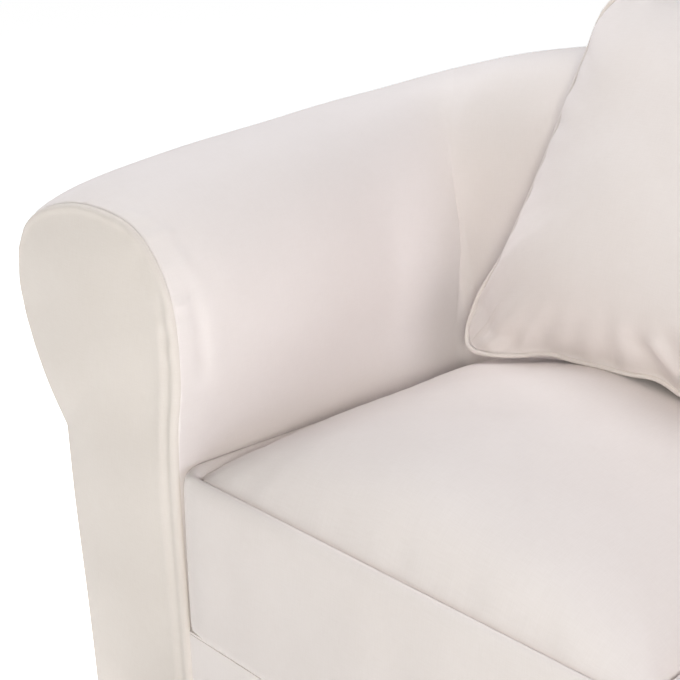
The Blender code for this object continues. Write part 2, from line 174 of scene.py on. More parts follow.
def through_rows(rows, steps):
    """A Catmull-Rom line through a table's rows, all its points at once, with so many steps a row."""
    rows = np.asarray(rows, float)
    padded = np.vstack([2 * rows[0] - rows[1], rows, 2 * rows[-1] - rows[-2]])
    t = (np.arange(steps) / steps)[None, :, None]
    before, here, there, beyond = (padded[k : k + len(rows) - 1, None] for k in range(4))
    line = 0.5 * (
        2 * here
        + (there - before) * t
        + (2 * before - 5 * here + 4 * there - beyond) * t**2
        + (3 * here - before - 3 * there + beyond) * t**3
    )
    return np.vstack([line.reshape(-1, rows.shape[1]), rows[-1]])


def along_curve(points, axis=0):
    """The distance from a line's first point to each of its points."""
    step = np.linalg.norm(np.diff(points, axis=axis), axis=-1)
    start = np.zeros_like(np.take(step, [0], axis=axis))
    return np.concatenate([start, np.cumsum(step, axis=axis)], axis=axis)


def outward_of(points, wrap=False):
    """Unit normals of a grid: the cross product of its two central differences."""
    if wrap:
        down = np.gradient(points, axis=0)
        round_way = 0.5 * (np.roll(points, -1, axis=1) - np.roll(points, 1, axis=1))
    else:
        down, round_way = np.gradient(points, axis=0), np.gradient(points, axis=1)
    normal = np.cross(down, round_way)
    return normal / np.maximum(np.linalg.norm(normal, axis=-1, keepdims=True), 1e-12)


def folds(points, table):
    """Soft ridges and troughs: each row gives start, end, half width and height, and adds
    height * exp(-(distance / width)^2) * (1 - (2t - 1)^4), where t runs from start to end."""
    total = np.zeros(points.shape[:-1])
    for start, end, width, height in table:
        start, end = np.array(start), np.array(end)
        along = end - start
        share = np.clip(((points - start) @ along) / (along @ along), 0.0, 1.0)
        away = points - (start + share[..., None] * along)
        reach = (away**2).sum(axis=-1) / width**2
        total += height * np.exp(-reach) * (1.0 - (2.0 * share - 1.0) ** 4)
    return total


def ripples(across, along, length, count, seed):
    """An uneven sum of sine waves in a plane, about 1 high and about length from crest to crest."""
    draw = np.random.RandomState(seed)
    total = np.zeros(np.broadcast(across, along).shape)
    for _ in range(count):
        pitch = length * draw.uniform(0.7, 1.6)
        turn, phase = draw.uniform(0.0, np.pi), draw.uniform(0.0, 2.0 * np.pi)
        total += np.sin(2.0 * np.pi / pitch * (np.cos(turn) * across + np.sin(turn) * along) + phase)
    return total / np.sqrt(0.5 * count)


def uneven_wave(along, length, seed, count=4):
    """A wave along one line whose pitch and height wander: a sum of sines near one length."""
    draw = np.random.RandomState(seed)
    total = np.zeros(np.shape(along))
    for _ in range(count):
        pitch = length * draw.uniform(0.6, 1.7)
        total += np.sin(2.0 * np.pi * along / pitch + draw.uniform(0.0, 2.0 * np.pi))
    return total / np.sqrt(0.5 * count)


# Puckers beside a seam: height, pitch along it, how far from it they reach, how soon they rise beside it
PUCKERS = {
    "arm seam": (0.0009, 0.034, 0.020, 0.004),
    "arm front": (0.0007, 0.030, 0.016, 0.005),
    "seat cushion": (0.0011, 0.055, 0.022, 0.005),
    "back cushion": (0.0030, 0.060, 0.030, 0.008),
}
# The slow unevenness of the cloth: height, length from crest to crest, number of waves, and the distances
# from the seam between which it grows
UNEVENNESS = {
    "cover": (0.0010, 0.24, 6, (0.01, 0.12)),
    "arm front": (0.0012, 0.20, 5, (0.0, 0.05)),
    "seat deck": (0.0005, 0.30, 4, (0.0, 0.05)),
    "seat cushion": (0.0012, 0.20, 6, (0.0, 0.06)),
    "back cushion": (0.0022, 0.19, 6, (0.0, 0.08)),
}


def puckers(kind, along, from_seam, seed):
    """height * wave along the seam * exp(-d / reach) * (1 - exp(-d / start)), where d is from_seam."""
    height, pitch, reach, start = PUCKERS[kind]
    wave = uneven_wave(along, pitch, seed)
    return height * (wave * np.exp(-from_seam / reach) * (1.0 - np.exp(-from_seam / start)))


def slow_waves(kind, across, along, from_seam, seed):
    """height * ripples * the ramp from the seam, for one kind of piece."""
    height, length, count, growth = UNEVENNESS[kind]
    return height * ripples(across, along, length, count, seed) * ramp(from_seam, *growth)


# ---------------------------------------------------------------- finishes


class Value:
    """One number of a finish as it varies over a piece. Arithmetic on it adds the Math nodes for it."""

    def __init__(self, finish, socket):
        self.finish = finish
        self.socket = socket

    def __add__(self, other):
        return self.finish.math("ADD", self, other)

    def __sub__(self, other):
        return self.finish.math("SUBTRACT", self, other)

    def __rsub__(self, other):
        return self.finish.math("SUBTRACT", other, self)

    def __mul__(self, other):
        return self.finish.math("MULTIPLY", self, other)

    __radd__ = __add__
    __rmul__ = __mul__


class Finish:
    """One material's nodes, and the ways to add to them."""

    def __init__(self, name):
        self.material = bpy.data.materials.new(name)
        self.material.use_nodes = True
        self.nodes = self.material.node_tree.nodes
        self.links = self.material.node_tree.links
        self.shader = self.nodes["Principled BSDF"]

    def node(self, kind, settings=None, inputs=None, output=0):
        """Adds a node, its settings first, then the values or links of its sockets, and gives one output."""
        made = self.nodes.new(kind)
        for key, value in (settings or {}).items():
            setattr(made, key, value)
        for key, value in (inputs or {}).items():
            self.feed(made.inputs[key], value)
        return Value(self, made.outputs[output])

    def feed(self, socket, value):
        if isinstance(value, Value):
            self.links.new(value.socket, socket)
        else:
            socket.default_value = value

    def math(self, operation, first, second=0.0):
        return self.node("ShaderNodeMath", {"operation": operation}, {0: first, 1: second})

    def blend(self, share, low, high):
        """A colour between two colours: a Mix node's colour sockets are 6 and 7, and its colour output 2."""
        return self.node(
            "ShaderNodeMix", {"data_type": "RGBA"}, {0: share, 6: (*low, 1.0), 7: (*high, 1.0)}, output=2
        )

    def step(self, value, low, high, start=0.0, end=1.0):
        """start below low, end above high, and smooth between them."""
        return self.node(
            "ShaderNodeMapRange",
            {"interpolation_type": "SMOOTHSTEP"},
            {"Value": value, "From Min": low, "From Max": high, "To Min": start, "To Max": end},
        )

    def x_and_y(self, place):
        """The first two numbers of a place."""
        split = self.node("ShaderNodeSeparateXYZ", {}, {0: place}).socket.node
        return Value(self, split.outputs[0]), Value(self, split.outputs[1])


# The canvas: its thread in metres, its slubs' stretch along and across a thread, and the scales of its noise
THREAD = 0.00095
SLUB_STRETCH = (60.0, 4.0)
SLUB_SCALE, CLOUD_SCALE, SPECK_SCALE = 14.0, 9.0, 900.0
NOISE_ROUGHNESS = 0.55
# Shares of weave, slubs, clouds and specks in the tone, the tones of the shade and of the light colour, and
# shares of weave, slubs and specks in the height
TONE_SHARES = (0.10, 0.55, 0.35, 0.10)
TONE_FROM, TONE_TO = 0.30, 0.80
HEIGHT_SHARES = (0.7, 0.5, 0.15)
BUMP_STRENGTH, BUMP_DEPTH = 0.55, 0.00035
# The cloth's roughness, and how much smoother a slub is
ROUGHEST, SLUB_SMOOTH = 0.98, 0.16
CLOTH_SHINE = {"Metallic": 0.0, "Specular IOR Level": 0.22, "Sheen Weight": 0.10, "Sheen Roughness": 0.6}


def woven_cloth(name, light, shade, yarn=1.0, turn=0.0):
    """Plain-weave canvas on the cloth's own map, in metres.

    With a = sin(pi u / p) and b = sin(pi v / p), the warp stands (1 + a b) / 2 * |cos(pi u / p)| high and the
    weft (1 - a b) / 2 * |cos(pi v / p)|. Long thin noise along each thread gives the slubs, and wide noise
    gives the cloth's cloudy tone.
    """
    finish = Finish(name)
    pitch = np.pi / (THREAD * yarn)
    place = finish.node("ShaderNodeUVMap", {"uv_map": "cloth"})
    turned = finish.node("ShaderNodeMapping", {}, {"Vector": place, "Rotation": (0.0, 0.0, turn)})
    u, v = finish.x_and_y(turned)
    sin_u, sin_v = finish.math("SINE", u * pitch), finish.math("SINE", v * pitch)
    cos_u = finish.math("ABSOLUTE", finish.math("COSINE", u * pitch))
    cos_v = finish.math("ABSOLUTE", finish.math("COSINE", v * pitch))
    over = sin_u * sin_v * 0.5
    weave = finish.math("MAXIMUM", (over + 0.5) * cos_u, (0.5 - over) * cos_v)

    def noise(stretch, scale, detail=2.0):
        spread = finish.node("ShaderNodeMapping", {}, {"Vector": turned, "Scale": (*stretch, 1.0)})
        sizes = {"Vector": spread, "Scale": scale, "Detail": detail, "Roughness": NOISE_ROUGHNESS}
        return finish.node("ShaderNodeTexNoise", {}, sizes)

    warp_slub, weft_slub = noise(SLUB_STRETCH, SLUB_SCALE), noise(SLUB_STRETCH[::-1], SLUB_SCALE)
    slub = warp_slub * 0.5 + weft_slub * 0.5
    cloud = noise((1.0, 1.0), CLOUD_SCALE, 3.0)
    speck = noise((1.0, 1.0), SPECK_SCALE, 1.0)
    woven, slubbed, cloudy, specked = TONE_SHARES
    tone = weave * woven + slub * slubbed + cloud * cloudy + speck * specked
    share = finish.step(tone, TONE_FROM, TONE_TO)
    finish.feed(finish.shader.inputs["Base Color"], finish.blend(share, shade, light))
    finish.feed(finish.shader.inputs["Roughness"], ROUGHEST - slub * SLUB_SMOOTH)
    woven, slubbed, specked = HEIGHT_SHARES
    height = weave * woven + slub * slubbed + speck * specked
    relief = {"Strength": BUMP_STRENGTH, "Distance": BUMP_DEPTH, "Height": height}
    finish.feed(finish.shader.inputs["Normal"], finish.node("ShaderNodeBump", {}, relief))
    for socket, value in CLOTH_SHINE.items():
        finish.feed(finish.shader.inputs[socket], value)
    return finish.material


CANVAS = woven_cloth("cover canvas", (0.935, 0.875, 0.856), (0.890, 0.826, 0.803))
# The arm fronts get a darker, yellower copy of the cover canvas: painted shade for the panels that face the
# front
SHADED_FRONT_CANVAS = woven_cloth(
    "cover canvas darkened with painted shade for the arm fronts", (0.850, 0.788, 0.738), (0.798, 0.730, 0.675)
)
CUSHION_CANVAS = woven_cloth("cushion canvas", (0.888, 0.827, 0.805), (0.836, 0.770, 0.744), yarn=0.94)
PIPING_CLOTH = woven_cloth(
    "bias-cut piping cloth", (0.905, 0.842, 0.810), (0.850, 0.783, 0.745), yarn=0.9, turn=np.pi / 4
)


# ---------------------------------------------------------------- making pieces

# Edges that bend by more degrees than this stay crisp
SHEET_SHARP = 60.0
CUSHION_SHARP = 75.0


def add_piece(kind, node, material, sharp, points, groups, corners):
    """One mesh that rides with the cover in its solid's place, from whole arrays: its points, its faces in
    groups, and the place of each group's corners on the cloth's map."""
    name = kind + "_" + node
    mesh = bpy.data.meshes.new(name)
    mesh.from_pydata(points.tolist(), [], [face for group in groups for face in group.tolist()])
    layer = mesh.uv_layers.new(name="cloth")
    flat = np.concatenate([group.reshape(-1, 2) for group in corners])
    layer.data.foreach_set("uv", flat.astype(np.float32).ravel())
    mesh.shade_smooth()
    mesh.set_sharp_from_angle(angle=np.radians(sharp))
    mesh.materials.append(material)
    piece = bpy.data.objects.new(name, mesh)
    bpy.context.scene.collection.objects.link(piece)
    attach(piece, "root")
    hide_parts(node)
    return piece


def quads(rows, columns, wrap=False, ring=False):
    """Faces of a grid, as rows of four point numbers. Wrap closes its last column to its first, and ring its
    last row to its first."""
    index = np.arange(rows * columns).reshape(rows, columns)
    if wrap:
        index = np.hstack([index, index[:, :1]])
    if ring:
        index = np.vstack([index, index[:1]])
    a, b, c, d = index[:-1, :-1], index[1:, :-1], index[1:, 1:], index[:-1, 1:]
    return np.stack([a, b, c, d], axis=2).reshape(-1, 4)


def fan(hub, rim, back=False):
    """Triangles from a hub point to each side of a rim, the other way round for a back."""
    after = np.roll(rim, -1)
    return np.stack([np.full(len(rim), hub), *((after, rim) if back else (rim, after))], axis=1)


def facing_out(side, groups):
    """Groups of faces, turned over on the mirrored side so that they still point outwards."""
    return [group[:, ::-1] for group in groups] if side < 0.0 else list(groups)


def closed_grid(side, rows, count):
    """Faces of rings that a point before the first ring and a point after the last one close: two fans and
    the grid between them. The two points come after the grid's own."""
    around, hub = np.arange(count), rows * count
    fans = fan(hub, around), fan(hub + 1, hub - count + around, back=True)
    return facing_out(side, (*fans, quads(rows, count, wrap=True)))


def sheet_of_cloth(node, face, lay):
    """A closed sheet: the outer face, the same grid a cloth's thickness behind it, and the strip between."""
    rows, columns = face.shape[:2]
    size = rows * columns
    points = np.concatenate([face.reshape(-1, 3), (face - CLOTH * outward_of(face)).reshape(-1, 3)])
    front = quads(rows, columns)
    back = front[:, [0, 3, 2, 1]] + size
    index = np.arange(size).reshape(rows, columns)
    rim = np.concatenate([index[:, 0], index[-1, 1:], index[-2::-1, -1], index[0, -2:0:-1]])
    after = np.roll(rim, -1)
    groups = front, back, np.stack([rim, rim + size, after + size, after], axis=1)
    lay = np.tile(lay.reshape(-1, 2), (2, 1))
    corners = [lay[group] for group in groups]
    return add_piece("canvas", node, CANVAS, SHEET_SHARP, points, groups, corners)


# ---------------------------------------------------------------- the cover's shape

# A station runs from 0 at the front of the left arm to 1 where its corner starts, to 2 at the end of the
# corner's fillet, and to 3 in the middle of the back. Past 3 it mirrors, up to 6 at the right arm's front.
MIDDLE_STATION = 3.0
LAST_STATION = 6.0


def from_front(stations):
    """Stations counted from the front of the nearer arm."""
    return np.minimum(stations, LAST_STATION - stations)


def mirrored(stations):
    """The same stations on the other half, in the same order round."""
    return LAST_STATION - stations[::-1]


def behind_seam(stations):
    """How far behind the arm's front seam each station of an arm is, one row a station."""
    return np.clip(from_front(stations), None, 1.0)[:, None] * INNER_DEPTH


def section(rows, steps=SECTION_STEPS):
    """Out, up, swell and flare along a table of rows, and the section's outward direction."""
    line = through_rows(rows, steps)
    along = np.gradient(line[:, :2], axis=0)
    along /= np.linalg.norm(along, axis=1)[:, None]
    return line, np.stack([-along[:, 1], along[:, 0]], axis=1)


def plan(station):
    """The inside line in plan: x, y and its outward direction, for an array of stations. It is straight along
    the arm, a quarter circle in the corner, and straight along the back."""
    s = from_front(station)
    side = np.where(station > MIDDLE_STATION, -1.0, 1.0)
    angle = np.clip(s - 1.0, 0.0, 1.0) * np.pi / 2.0
    away_x, away_y = -np.cos(angle), np.sin(angle)
    centre_x, centre_y = ARM_X + INNER_FILLET, BACK_Y - INNER_FILLET
    x = centre_x + INNER_FILLET * away_x - centre_x * np.clip(s - 2.0, 0.0, None)
    y = centre_y + INNER_FILLET * away_y - (INNER_DEPTH - INNER_FILLET) * (1.0 - np.clip(s, None, 1.0))
    return side * x, y, side * away_x, away_y


def crown_rise(s):
    """How far the roll has risen above its height at the arm's front seam: an exponential rise along the
    arm, then a ramp to the corner's crown and a ramp to the back's."""
    arm = ARM_RISE * (1.0 - np.exp(-INNER_DEPTH * np.clip(s, None, 1.0) / ARM_RISE_LENGTH))
    corner = (CORNER_CROWN - arm) * ramp(s, *CORNER_RISE_STATIONS)
    return arm + corner + (BACK_CROWN - CORNER_CROWN) * ramp(s, *BACK_RISE_STATIONS)


def cover_face(rows, stations, steps=SECTION_STEPS):
    """The cover's outer face: one row of points a station, one column a step along the section.

    The section is carried along the inside line. It swells behind the arm's front seam, rises with the
    crown, flares outwards along the arms, and leans to the rear on the back.
    """
    line, facing = section(rows, steps)
    stations = stations[:, None]
    s = from_front(stations)
    base_x, base_y, away_x, away_y = plan(stations)
    swell = line[:, 2] * (1.0 - np.exp(-s * INNER_DEPTH / SWELL_LENGTH))
    out = line[:, 0] + swell * facing[:, 0]
    up = line[:, 1] + swell * facing[:, 1]
    up = up + crown_rise(s) * ramp(up, LIFT_FROM, LIFT_TO)
    above = np.clip(up, 0.0, None)
    flared = ramp(s, *FLARE_STATIONS) * fade(s, *FLARE_END_STATIONS)
    flare = ARM_FLARE * line[:, 3] * above * flared
    lean_length = LEAN_LENGTH + LEAN_SPREAD * np.clip(out, 0.0, ROLL_DEPTH)
    lean = BACK_LEAN * above * ramp(abs(ARM_X) - np.abs(base_x), 0.0, lean_length)
    x = base_x + out * away_x - np.copysign(flare, MIDDLE_STATION - stations)
    y = base_y + out * away_y + lean
    return np.stack([x, y, SEAM_HEIGHT + up], axis=2), out, up


# The roll is eased so many times, past these places out, up, further up, and in stations
EASE_PASSES = 220
EASE_OUT, EASE_UP, EASE_TOP, EASE_STATIONS = (0.0, 0.05), (0.10, 0.20), (0.15, 0.29), (0.25, 0.7)


def eased(face, out, up, stations):
    """The face with its roll drawn, many times over, towards the mean of its neighbours along the stations.

    The cloth over the roll then turns the corner in one long curve. The crease below it stays where it is.
    """
    over_roll = np.maximum(ramp(out, *EASE_OUT) * ramp(up, *EASE_UP), ramp(up, *EASE_TOP))
    share = (over_roll * ramp(from_front(stations)[:, None], *EASE_STATIONS))[1:-1, :, None]
    for _ in range(EASE_PASSES):
        face[1:-1] += 0.5 * share * (0.5 * (face[:-2] + face[2:]) - face[1:-1])
    return face


# Stations of an arm, closest behind its front seam, and of the back, closest beside the corners
SEAM_STATION = 0.09
ARM_STATIONS = np.concatenate(
    [
        SEAM_STATION * np.linspace(0.0, 1.0, 28) ** 1.6,
        np.linspace(SEAM_STATION, 1.0, 66)[1:],
        np.linspace(1.0, MITRE, 34)[1:],
    ]
)
BACK_STATIONS = np.concatenate([np.linspace(MITRE, 2.0, 34), np.linspace(2.0, MIDDLE_STATION, 52)[1:]])

# The sunk seam at the arm's front: depth, half width over the arm, half width on the outside, and where its
# puckers start going up, over the arm and on its front
SEAM_SINK, SEAM_WIDTH, OUTSIDE_SEAM_WIDTH = 0.0030, 0.0018, 0.0022
PUCKER_UP, FRONT_PUCKER_UP = (-0.1, 0.1), (0.05, 0.2)
# The crease where arm and back meet: depth, half width in stations, where it starts and ends going up, and
# how far out it fades
CREASE_SINK, CREASE_WIDTH = 0.0010, 0.16
CREASE_START, CREASE_END, CREASE_OUT = (-0.05, 0.05), (0.18, 0.27), (0.02, 0.06)
# The fuller cloth on the arm beside it: height, where it starts behind the seam, the stations where it
# fades, and where it starts and ends going up
FULL_HEIGHT, FULL_BEHIND, FULL_STATIONS = 0.009, (0.34, 0.505), (0.98, 1.5)
FULL_START, FULL_END = (0.02, 0.10), (0.16, 0.30)

# Folds on the left arm, mirrored for the right: start, end, half width and height
ARM_FOLDS = (
    ((-0.700, -0.424, 0.726), (-0.628, -0.400, 0.703), 0.0075, 0.0021),
    ((-0.690, -0.410, 0.724), (-0.630, -0.392, 0.700), 0.0080, -0.0015),
    ((-0.655, -0.418, 0.712), (-0.606, -0.396, 0.665), 0.0080, 0.0015),
    ((-0.600, -0.407, 0.668), (-0.596, -0.394, 0.540), 0.0100, -0.0019),
    ((-0.598, -0.385, 0.650), (-0.594, -0.376, 0.520), 0.0130, 0.0010),
    ((-0.640, -0.395, 0.700), (-0.603, -0.372, 0.640), 0.0120, -0.0015),
)
CORNER_FOLDS = (((-0.604, 0.098, 0.690), (-0.604, 0.090, 0.520), 0.020, -0.0030),)


def cover_relief(face, out, up, stations):
    """How far the cloth stands off its plain face: sunk and puckered at the arm's front seam, folds, a
    crease in the corner with fuller cloth beside it, and a slow unevenness all over."""
    s = from_front(stations)[:, None]
    behind = behind_seam(stations)
    side = np.where(stations > MIDDLE_STATION, 1.0, -1.0)[:, None]
    relief = -SEAM_SINK * bell(behind, 0.0, SEAM_WIDTH)
    over = along_curve(face, axis=1) + side
    relief = relief + puckers("arm seam", over, behind, 11) * ramp(up, *PUCKER_UP)
    left = face.copy()
    left[..., 0] = -np.abs(left[..., 0])
    relief = relief + folds(left, ARM_FOLDS) + folds(left, CORNER_FOLDS)
    crease = bell(s, MITRE, CREASE_WIDTH) * ramp(up, *CREASE_START) * fade(up, *CREASE_END)
    full = ramp(behind, *FULL_BEHIND) * fade(s, *FULL_STATIONS) * ramp(up, *FULL_START) * fade(up, *FULL_END)
    relief = relief - CREASE_SINK * (crease * fade(out, *CREASE_OUT)) + FULL_HEIGHT * full
    x, y, z = np.moveaxis(face, -1, 0)
    return relief + slow_waves("cover", x + z, y + 0.6 * z, behind, 17)


def cloth_map(face):
    """The cloth's own map in metres: the distance along the stations and the distance over the section."""
    return np.stack([along_curve(face, axis=0), along_curve(face, axis=1)], axis=2)


def cloth_area(face):
    """The area of a grid's face: half the length of the cross product of each cell's diagonals, summed."""
    one = face[1:, 1:] - face[:-1, :-1]
    other = face[1:, :-1] - face[:-1, 1:]
    return float(0.5 * np.linalg.norm(np.cross(one, other), axis=-1).sum())


def inside_panels():
    """Inside arms and inside back, from the deck over the roll to the waist seam."""
    arm, half_back = len(ARM_STATIONS), len(BACK_STATIONS)
    all_round = np.concatenate([ARM_STATIONS, BACK_STATIONS[1:]])
    stations = np.concatenate([all_round, mirrored(all_round)[1:]])
    whole, out, up = cover_face(INSIDE_ROWS, stations)
    whole = eased(whole, out, up, stations)
    whole = whole + cover_relief(whole, out, up, stations)[..., None] * outward_of(whole)
    runs = {
        "arm_inside_left": slice(0, arm),
        "back_inside": slice(arm - 1, arm + 2 * half_back - 2),
        "arm_inside_right": slice(len(stations) - arm, len(stations)),
    }
    for node, run in runs.items():
        face = whole[run]
        piece = sheet_of_cloth(node, face, cloth_map(face))
        cloth_area(face)


# The hem: its height, the thickness and edge of its turned-up cloth, and its stitched line's depth and width
HEM_HEIGHT = 0.030
HEM_FOLD, HEM_EDGE = 0.0007, 0.001
HEM_STITCH, STITCH_WIDTH = 0.0009, 0.0016
# The waves of the hanging panels: height, pitch, the height where they die away, where they start behind the
# arm's front seam
HANG_WAVE, HANG_PITCH, HANG_TOP, HANG_BEHIND = 0.0035, 0.26, 0.40, (0.01, 0.15)
# Rows of a hanging panel, as shares of the way down, closest at the hem
HANG_ROWS = np.concatenate([np.linspace(0.0, 0.9, 40)[:-1], np.linspace(0.9, 1.0, 22)])
# A panel's cut size is this much more than its own
CUT_EASE = 1.02


def hem_relief(z):
    """The turned-up cloth stands out below the hem's line, which is sunk by its stitches."""
    fold = HEM_FOLD * fade(z, HEM_HEIGHT - HEM_EDGE, HEM_HEIGHT + HEM_EDGE)
    return fold - HEM_STITCH * bell(z, HEM_HEIGHT, STITCH_WIDTH)


def outside_relief(face, stations, seed):
    """The hem, the sunk seam at the arm's front, and soft upright waves that grow towards the hem."""
    z = face[..., 2]
    behind = behind_seam(stations)
    waves = HANG_WAVE * uneven_wave(along_curve(face, axis=0), HANG_PITCH, seed) * fade(z, 0.0, HANG_TOP)
    waves = waves * ramp(behind, *HANG_BEHIND)
    return hem_relief(z) + waves - SEAM_SINK * bell(behind, 0.0, OUTSIDE_SEAM_WIDTH)


def outside_panels():
    """Outside arms and outside back, from just under the waist seam to the hem."""
    runs = {
        "arm_outside_left": (ARM_STATIONS, 41),
        "arm_outside_right": (mirrored(ARM_STATIONS), 43),
        "back_outside": (np.concatenate([BACK_STATIONS, mirrored(BACK_STATIONS)[1:]]), 47),
    }
    for node, (stations, seed) in runs.items():
        face, _, _ = cover_face(OUTSIDE_ROWS, stations, OUTSIDE_STEPS)
        face = face[:, np.unique(np.round(HANG_ROWS * (face.shape[1] - 1)).astype(int))]
        face[:, 0, 2] -= WAIST_GAP
        face = face + outside_relief(face, stations, seed)[..., None] * outward_of(face) * (1.0, 1.0, 0.0)
        piece = sheet_of_cloth(node, face, cloth_map(face))
        length = cloth_area(face) / SEAM_HEIGHT * CUT_EASE
        inside = "canvas_" + node.replace("outside", "inside")


def front_outline():
    """An arm front's outline in out and up, from its inner hem corner over the roll to its outer one."""
    top = through_rows([*FRONT_FOOT_ROWS, *(row[:2] for row in INSIDE_ROWS[1:])], FRONT_STEPS)[:-1]
    return np.vstack([top, through_rows([row[:2] for row in OUTSIDE_ROWS], 2 * FRONT_STEPS)])


# Lines round an arm front, by distance from its edge, half width and height: the rolled rim, the sunk seam,
# and the slack folds down the inner side
RIM_ROLL = (0.0046, 0.0040, 0.0010)
EDGE_SINK = (0.0, 0.0014, -0.0024)
SLACK_FOLDS = ((0.0068, 0.0034, 0.0010), (0.0150, 0.0042, -0.0013), (0.0240, 0.0065, 0.0013))
# The share of the rim's roll that is left under the arm's roll, and where it grows to the whole going up
RIM_SHARE, RIM_UP = 0.55, (0.10, 0.20)
# Where the slack folds end, going out and up
SLACK_OUT, SLACK_UP = (0.02, 0.06), (0.14, 0.23)
# Rings of an arm front: where the inner ones start and stop short of the outer ones, as shares of the way to
# the edge, how many they are, the length of that way, and the outer ones' distances from the edge
FRONT_START, FRONT_GAP, FRONT_RINGS, FRONT_REACH = 0.06, 0.03, 24, 0.16
FRONT_NEAR = np.array(
    [0.0, 1.2, 2.5, 4.0, 5.5, 7.0, 9.0, 11.0, 13.5, 16.0, 19.0, 22.5, 26.5, 31.0, 36.0]
) * 0.001
FRONT_FACE = FRONT_Y - CLOTH - GAP
# The middle point stands this much further out, the hem's relief starts within this of the edge, and the
# cut size is this much more
FRONT_CREST, HEM_IN, FRONT_EASE = 0.0005, 0.004, 1.01


def line_relief(edge, line):
    """A ridge or a trough along the edge of an arm front."""
    place, width, height = line
    return height * bell(edge, place, width)


def front_relief(out, up, edge, along, seed):
    """How far an arm front stands off its fullness: a rolled rim inside the sunk seam, slack folds down the
    inner side below the roll, puckers round the roll, and a slow unevenness."""
    relief = line_relief(edge, RIM_ROLL) * (ramp(up, *RIM_UP) + RIM_SHARE * fade(up, *RIM_UP))
    relief = relief + line_relief(edge, EDGE_SINK)
    inner = fade(out, *SLACK_OUT) * fade(up, *SLACK_UP)
    for line in SLACK_FOLDS:
        relief = relief + line_relief(edge, line) * inner
    relief = relief + puckers("arm front", along, edge, seed) * ramp(up, *FRONT_PUCKER_UP)
    return relief + slow_waves("arm front", out, up, edge, seed)


def distance_to(loop, points):
    """The distance from each point of a plane to the nearest side of a closed line."""
    start, step = loop[:-1], np.diff(loop, axis=0)
    gap = points[:, :, None] - start
    share = np.clip((gap * step).sum(-1) / (step**2).sum(-1), 0.0, 1.0)
    return np.sqrt(((gap - share[..., None] * step) ** 2).sum(-1).min(axis=-1))


def front_panels():
    """The cloth that closes each arm's front, a polar grid closed in its middle."""
    outline, middle = front_outline(), np.array(FRONT_MIDDLE)
    near = 1.0 - FRONT_NEAR / FRONT_REACH
    rings = np.concatenate([np.linspace(FRONT_START, near[-1] - FRONT_GAP, FRONT_RINGS), near[::-1]])
    flat = middle + rings[:, None, None] * (outline - middle)
    out, up = flat[..., 0], flat[..., 1]
    loop = np.vstack([outline, outline[:1]])
    edge = distance_to(loop, flat)
    hem = hem_relief(up + SEAM_HEIGHT) * ramp(edge, 0, HEM_IN)
    pillow = FRONT_PILLOW * (1.0 - rings[:, None] ** 2)

    count, layer = len(outline), flat[..., 0].size + 1
    around = np.arange(count)
    outer = layer - 1 - count + around
    after = np.roll(outer, -1)
    front = quads(len(rings), count, wrap=True)[:, [1, 2, 3, 0]]
    groups = (
        fan(layer - 1, around),
        fan(2 * layer - 1, layer + around, back=True),
        front,
        front[:, ::-1] + layer,
        np.stack([outer, layer + outer, layer + after, after], axis=1),
    )
    lay = np.tile(np.vstack([flat.reshape(-1, 2), middle]), (2, 1))
    for side, node, seed in ((1.0, "arm_front_left", 53), (-1.0, "arm_front_right", 59)):
        stand = pillow + front_relief(out, up, edge, along_curve(loop)[:-1], seed) + hem
        face = np.stack([side * (ARM_X - out), FRONT_FACE - stand, SEAM_HEIGHT + up], axis=2)
        crest = FRONT_FACE - FRONT_PILLOW - FRONT_CREST
        crown = (side * (ARM_X - middle[0]), crest, SEAM_HEIGHT + middle[1])
        skin = np.vstack([face.reshape(-1, 3), crown])
        points = np.concatenate([skin, skin + (0, CLOTH, 0)])
        faces = facing_out(side, groups)
        corners = [lay[group] for group in faces]
        piece = add_piece("canvas", node, SHADED_FRONT_CANVAS, SHEET_SHARP, points, faces, corners)


# How far the deck settles on the sofa under it, and the front rail's waves: height, pitch, where they die
# away upwards and from each end
DECK_SETTLE = 0.0006
RAIL_WAVE, RAIL_PITCH, RAIL_TOP, RAIL_END = 0.0022, 0.24, 0.2, 0.12
# Points across them, rows of the deck, rows of the rail above and below the hem's line, how far under the
# deck the rail starts, and how far over the hem's line its rows close up
DECK_COLUMNS, DECK_ROWS, RAIL_ROWS, HEM_ROWS, RAIL_DROP, RAIL_TURN = 90, 40, 22, 16, 0.001, 0.004


def deck_and_rail():
    """The cloth under the seat cushions and the panel that hangs from its front edge, both lightly uneven."""
    reach = CLOTH - ARM_X
    across = np.linspace(-reach, reach, DECK_COLUMNS)[:, None]
    along = np.linspace(FRONT_Y + GAP, BACK_Y + CLOTH, DECK_ROWS)[None]
    level = DECK_HEIGHT - DECK_SETTLE + slow_waves("seat deck", across, along, 1.0, 61)
    deck = np.stack([across + 0 * along, along + 0 * across, level], axis=2)
    piece = sheet_of_cloth("seat_deck", deck, deck[..., :2])

    top, turn = DECK_HEIGHT - CLOTH - GAP - RAIL_DROP, HEM_HEIGHT + RAIL_TURN
    down = np.concatenate([np.linspace(top, turn, RAIL_ROWS)[:-1], np.linspace(turn, 0.0, HEM_ROWS)])[None]
    wave = RAIL_WAVE * uneven_wave(across, RAIL_PITCH, 67) * fade(down, 0.0, RAIL_TOP)
    wave = wave * ramp(reach - np.abs(across), 0.0, RAIL_END)
    y = FRONT_Y + GAP + RAIL_WAVE - wave - hem_relief(down)
    rail = np.stack([across + 0 * down, y, down + 0 * across], axis=2)
    piece = sheet_of_cloth("front_rail", rail, rail[..., [0, 2]])


# ---------------------------------------------------------------- cushions


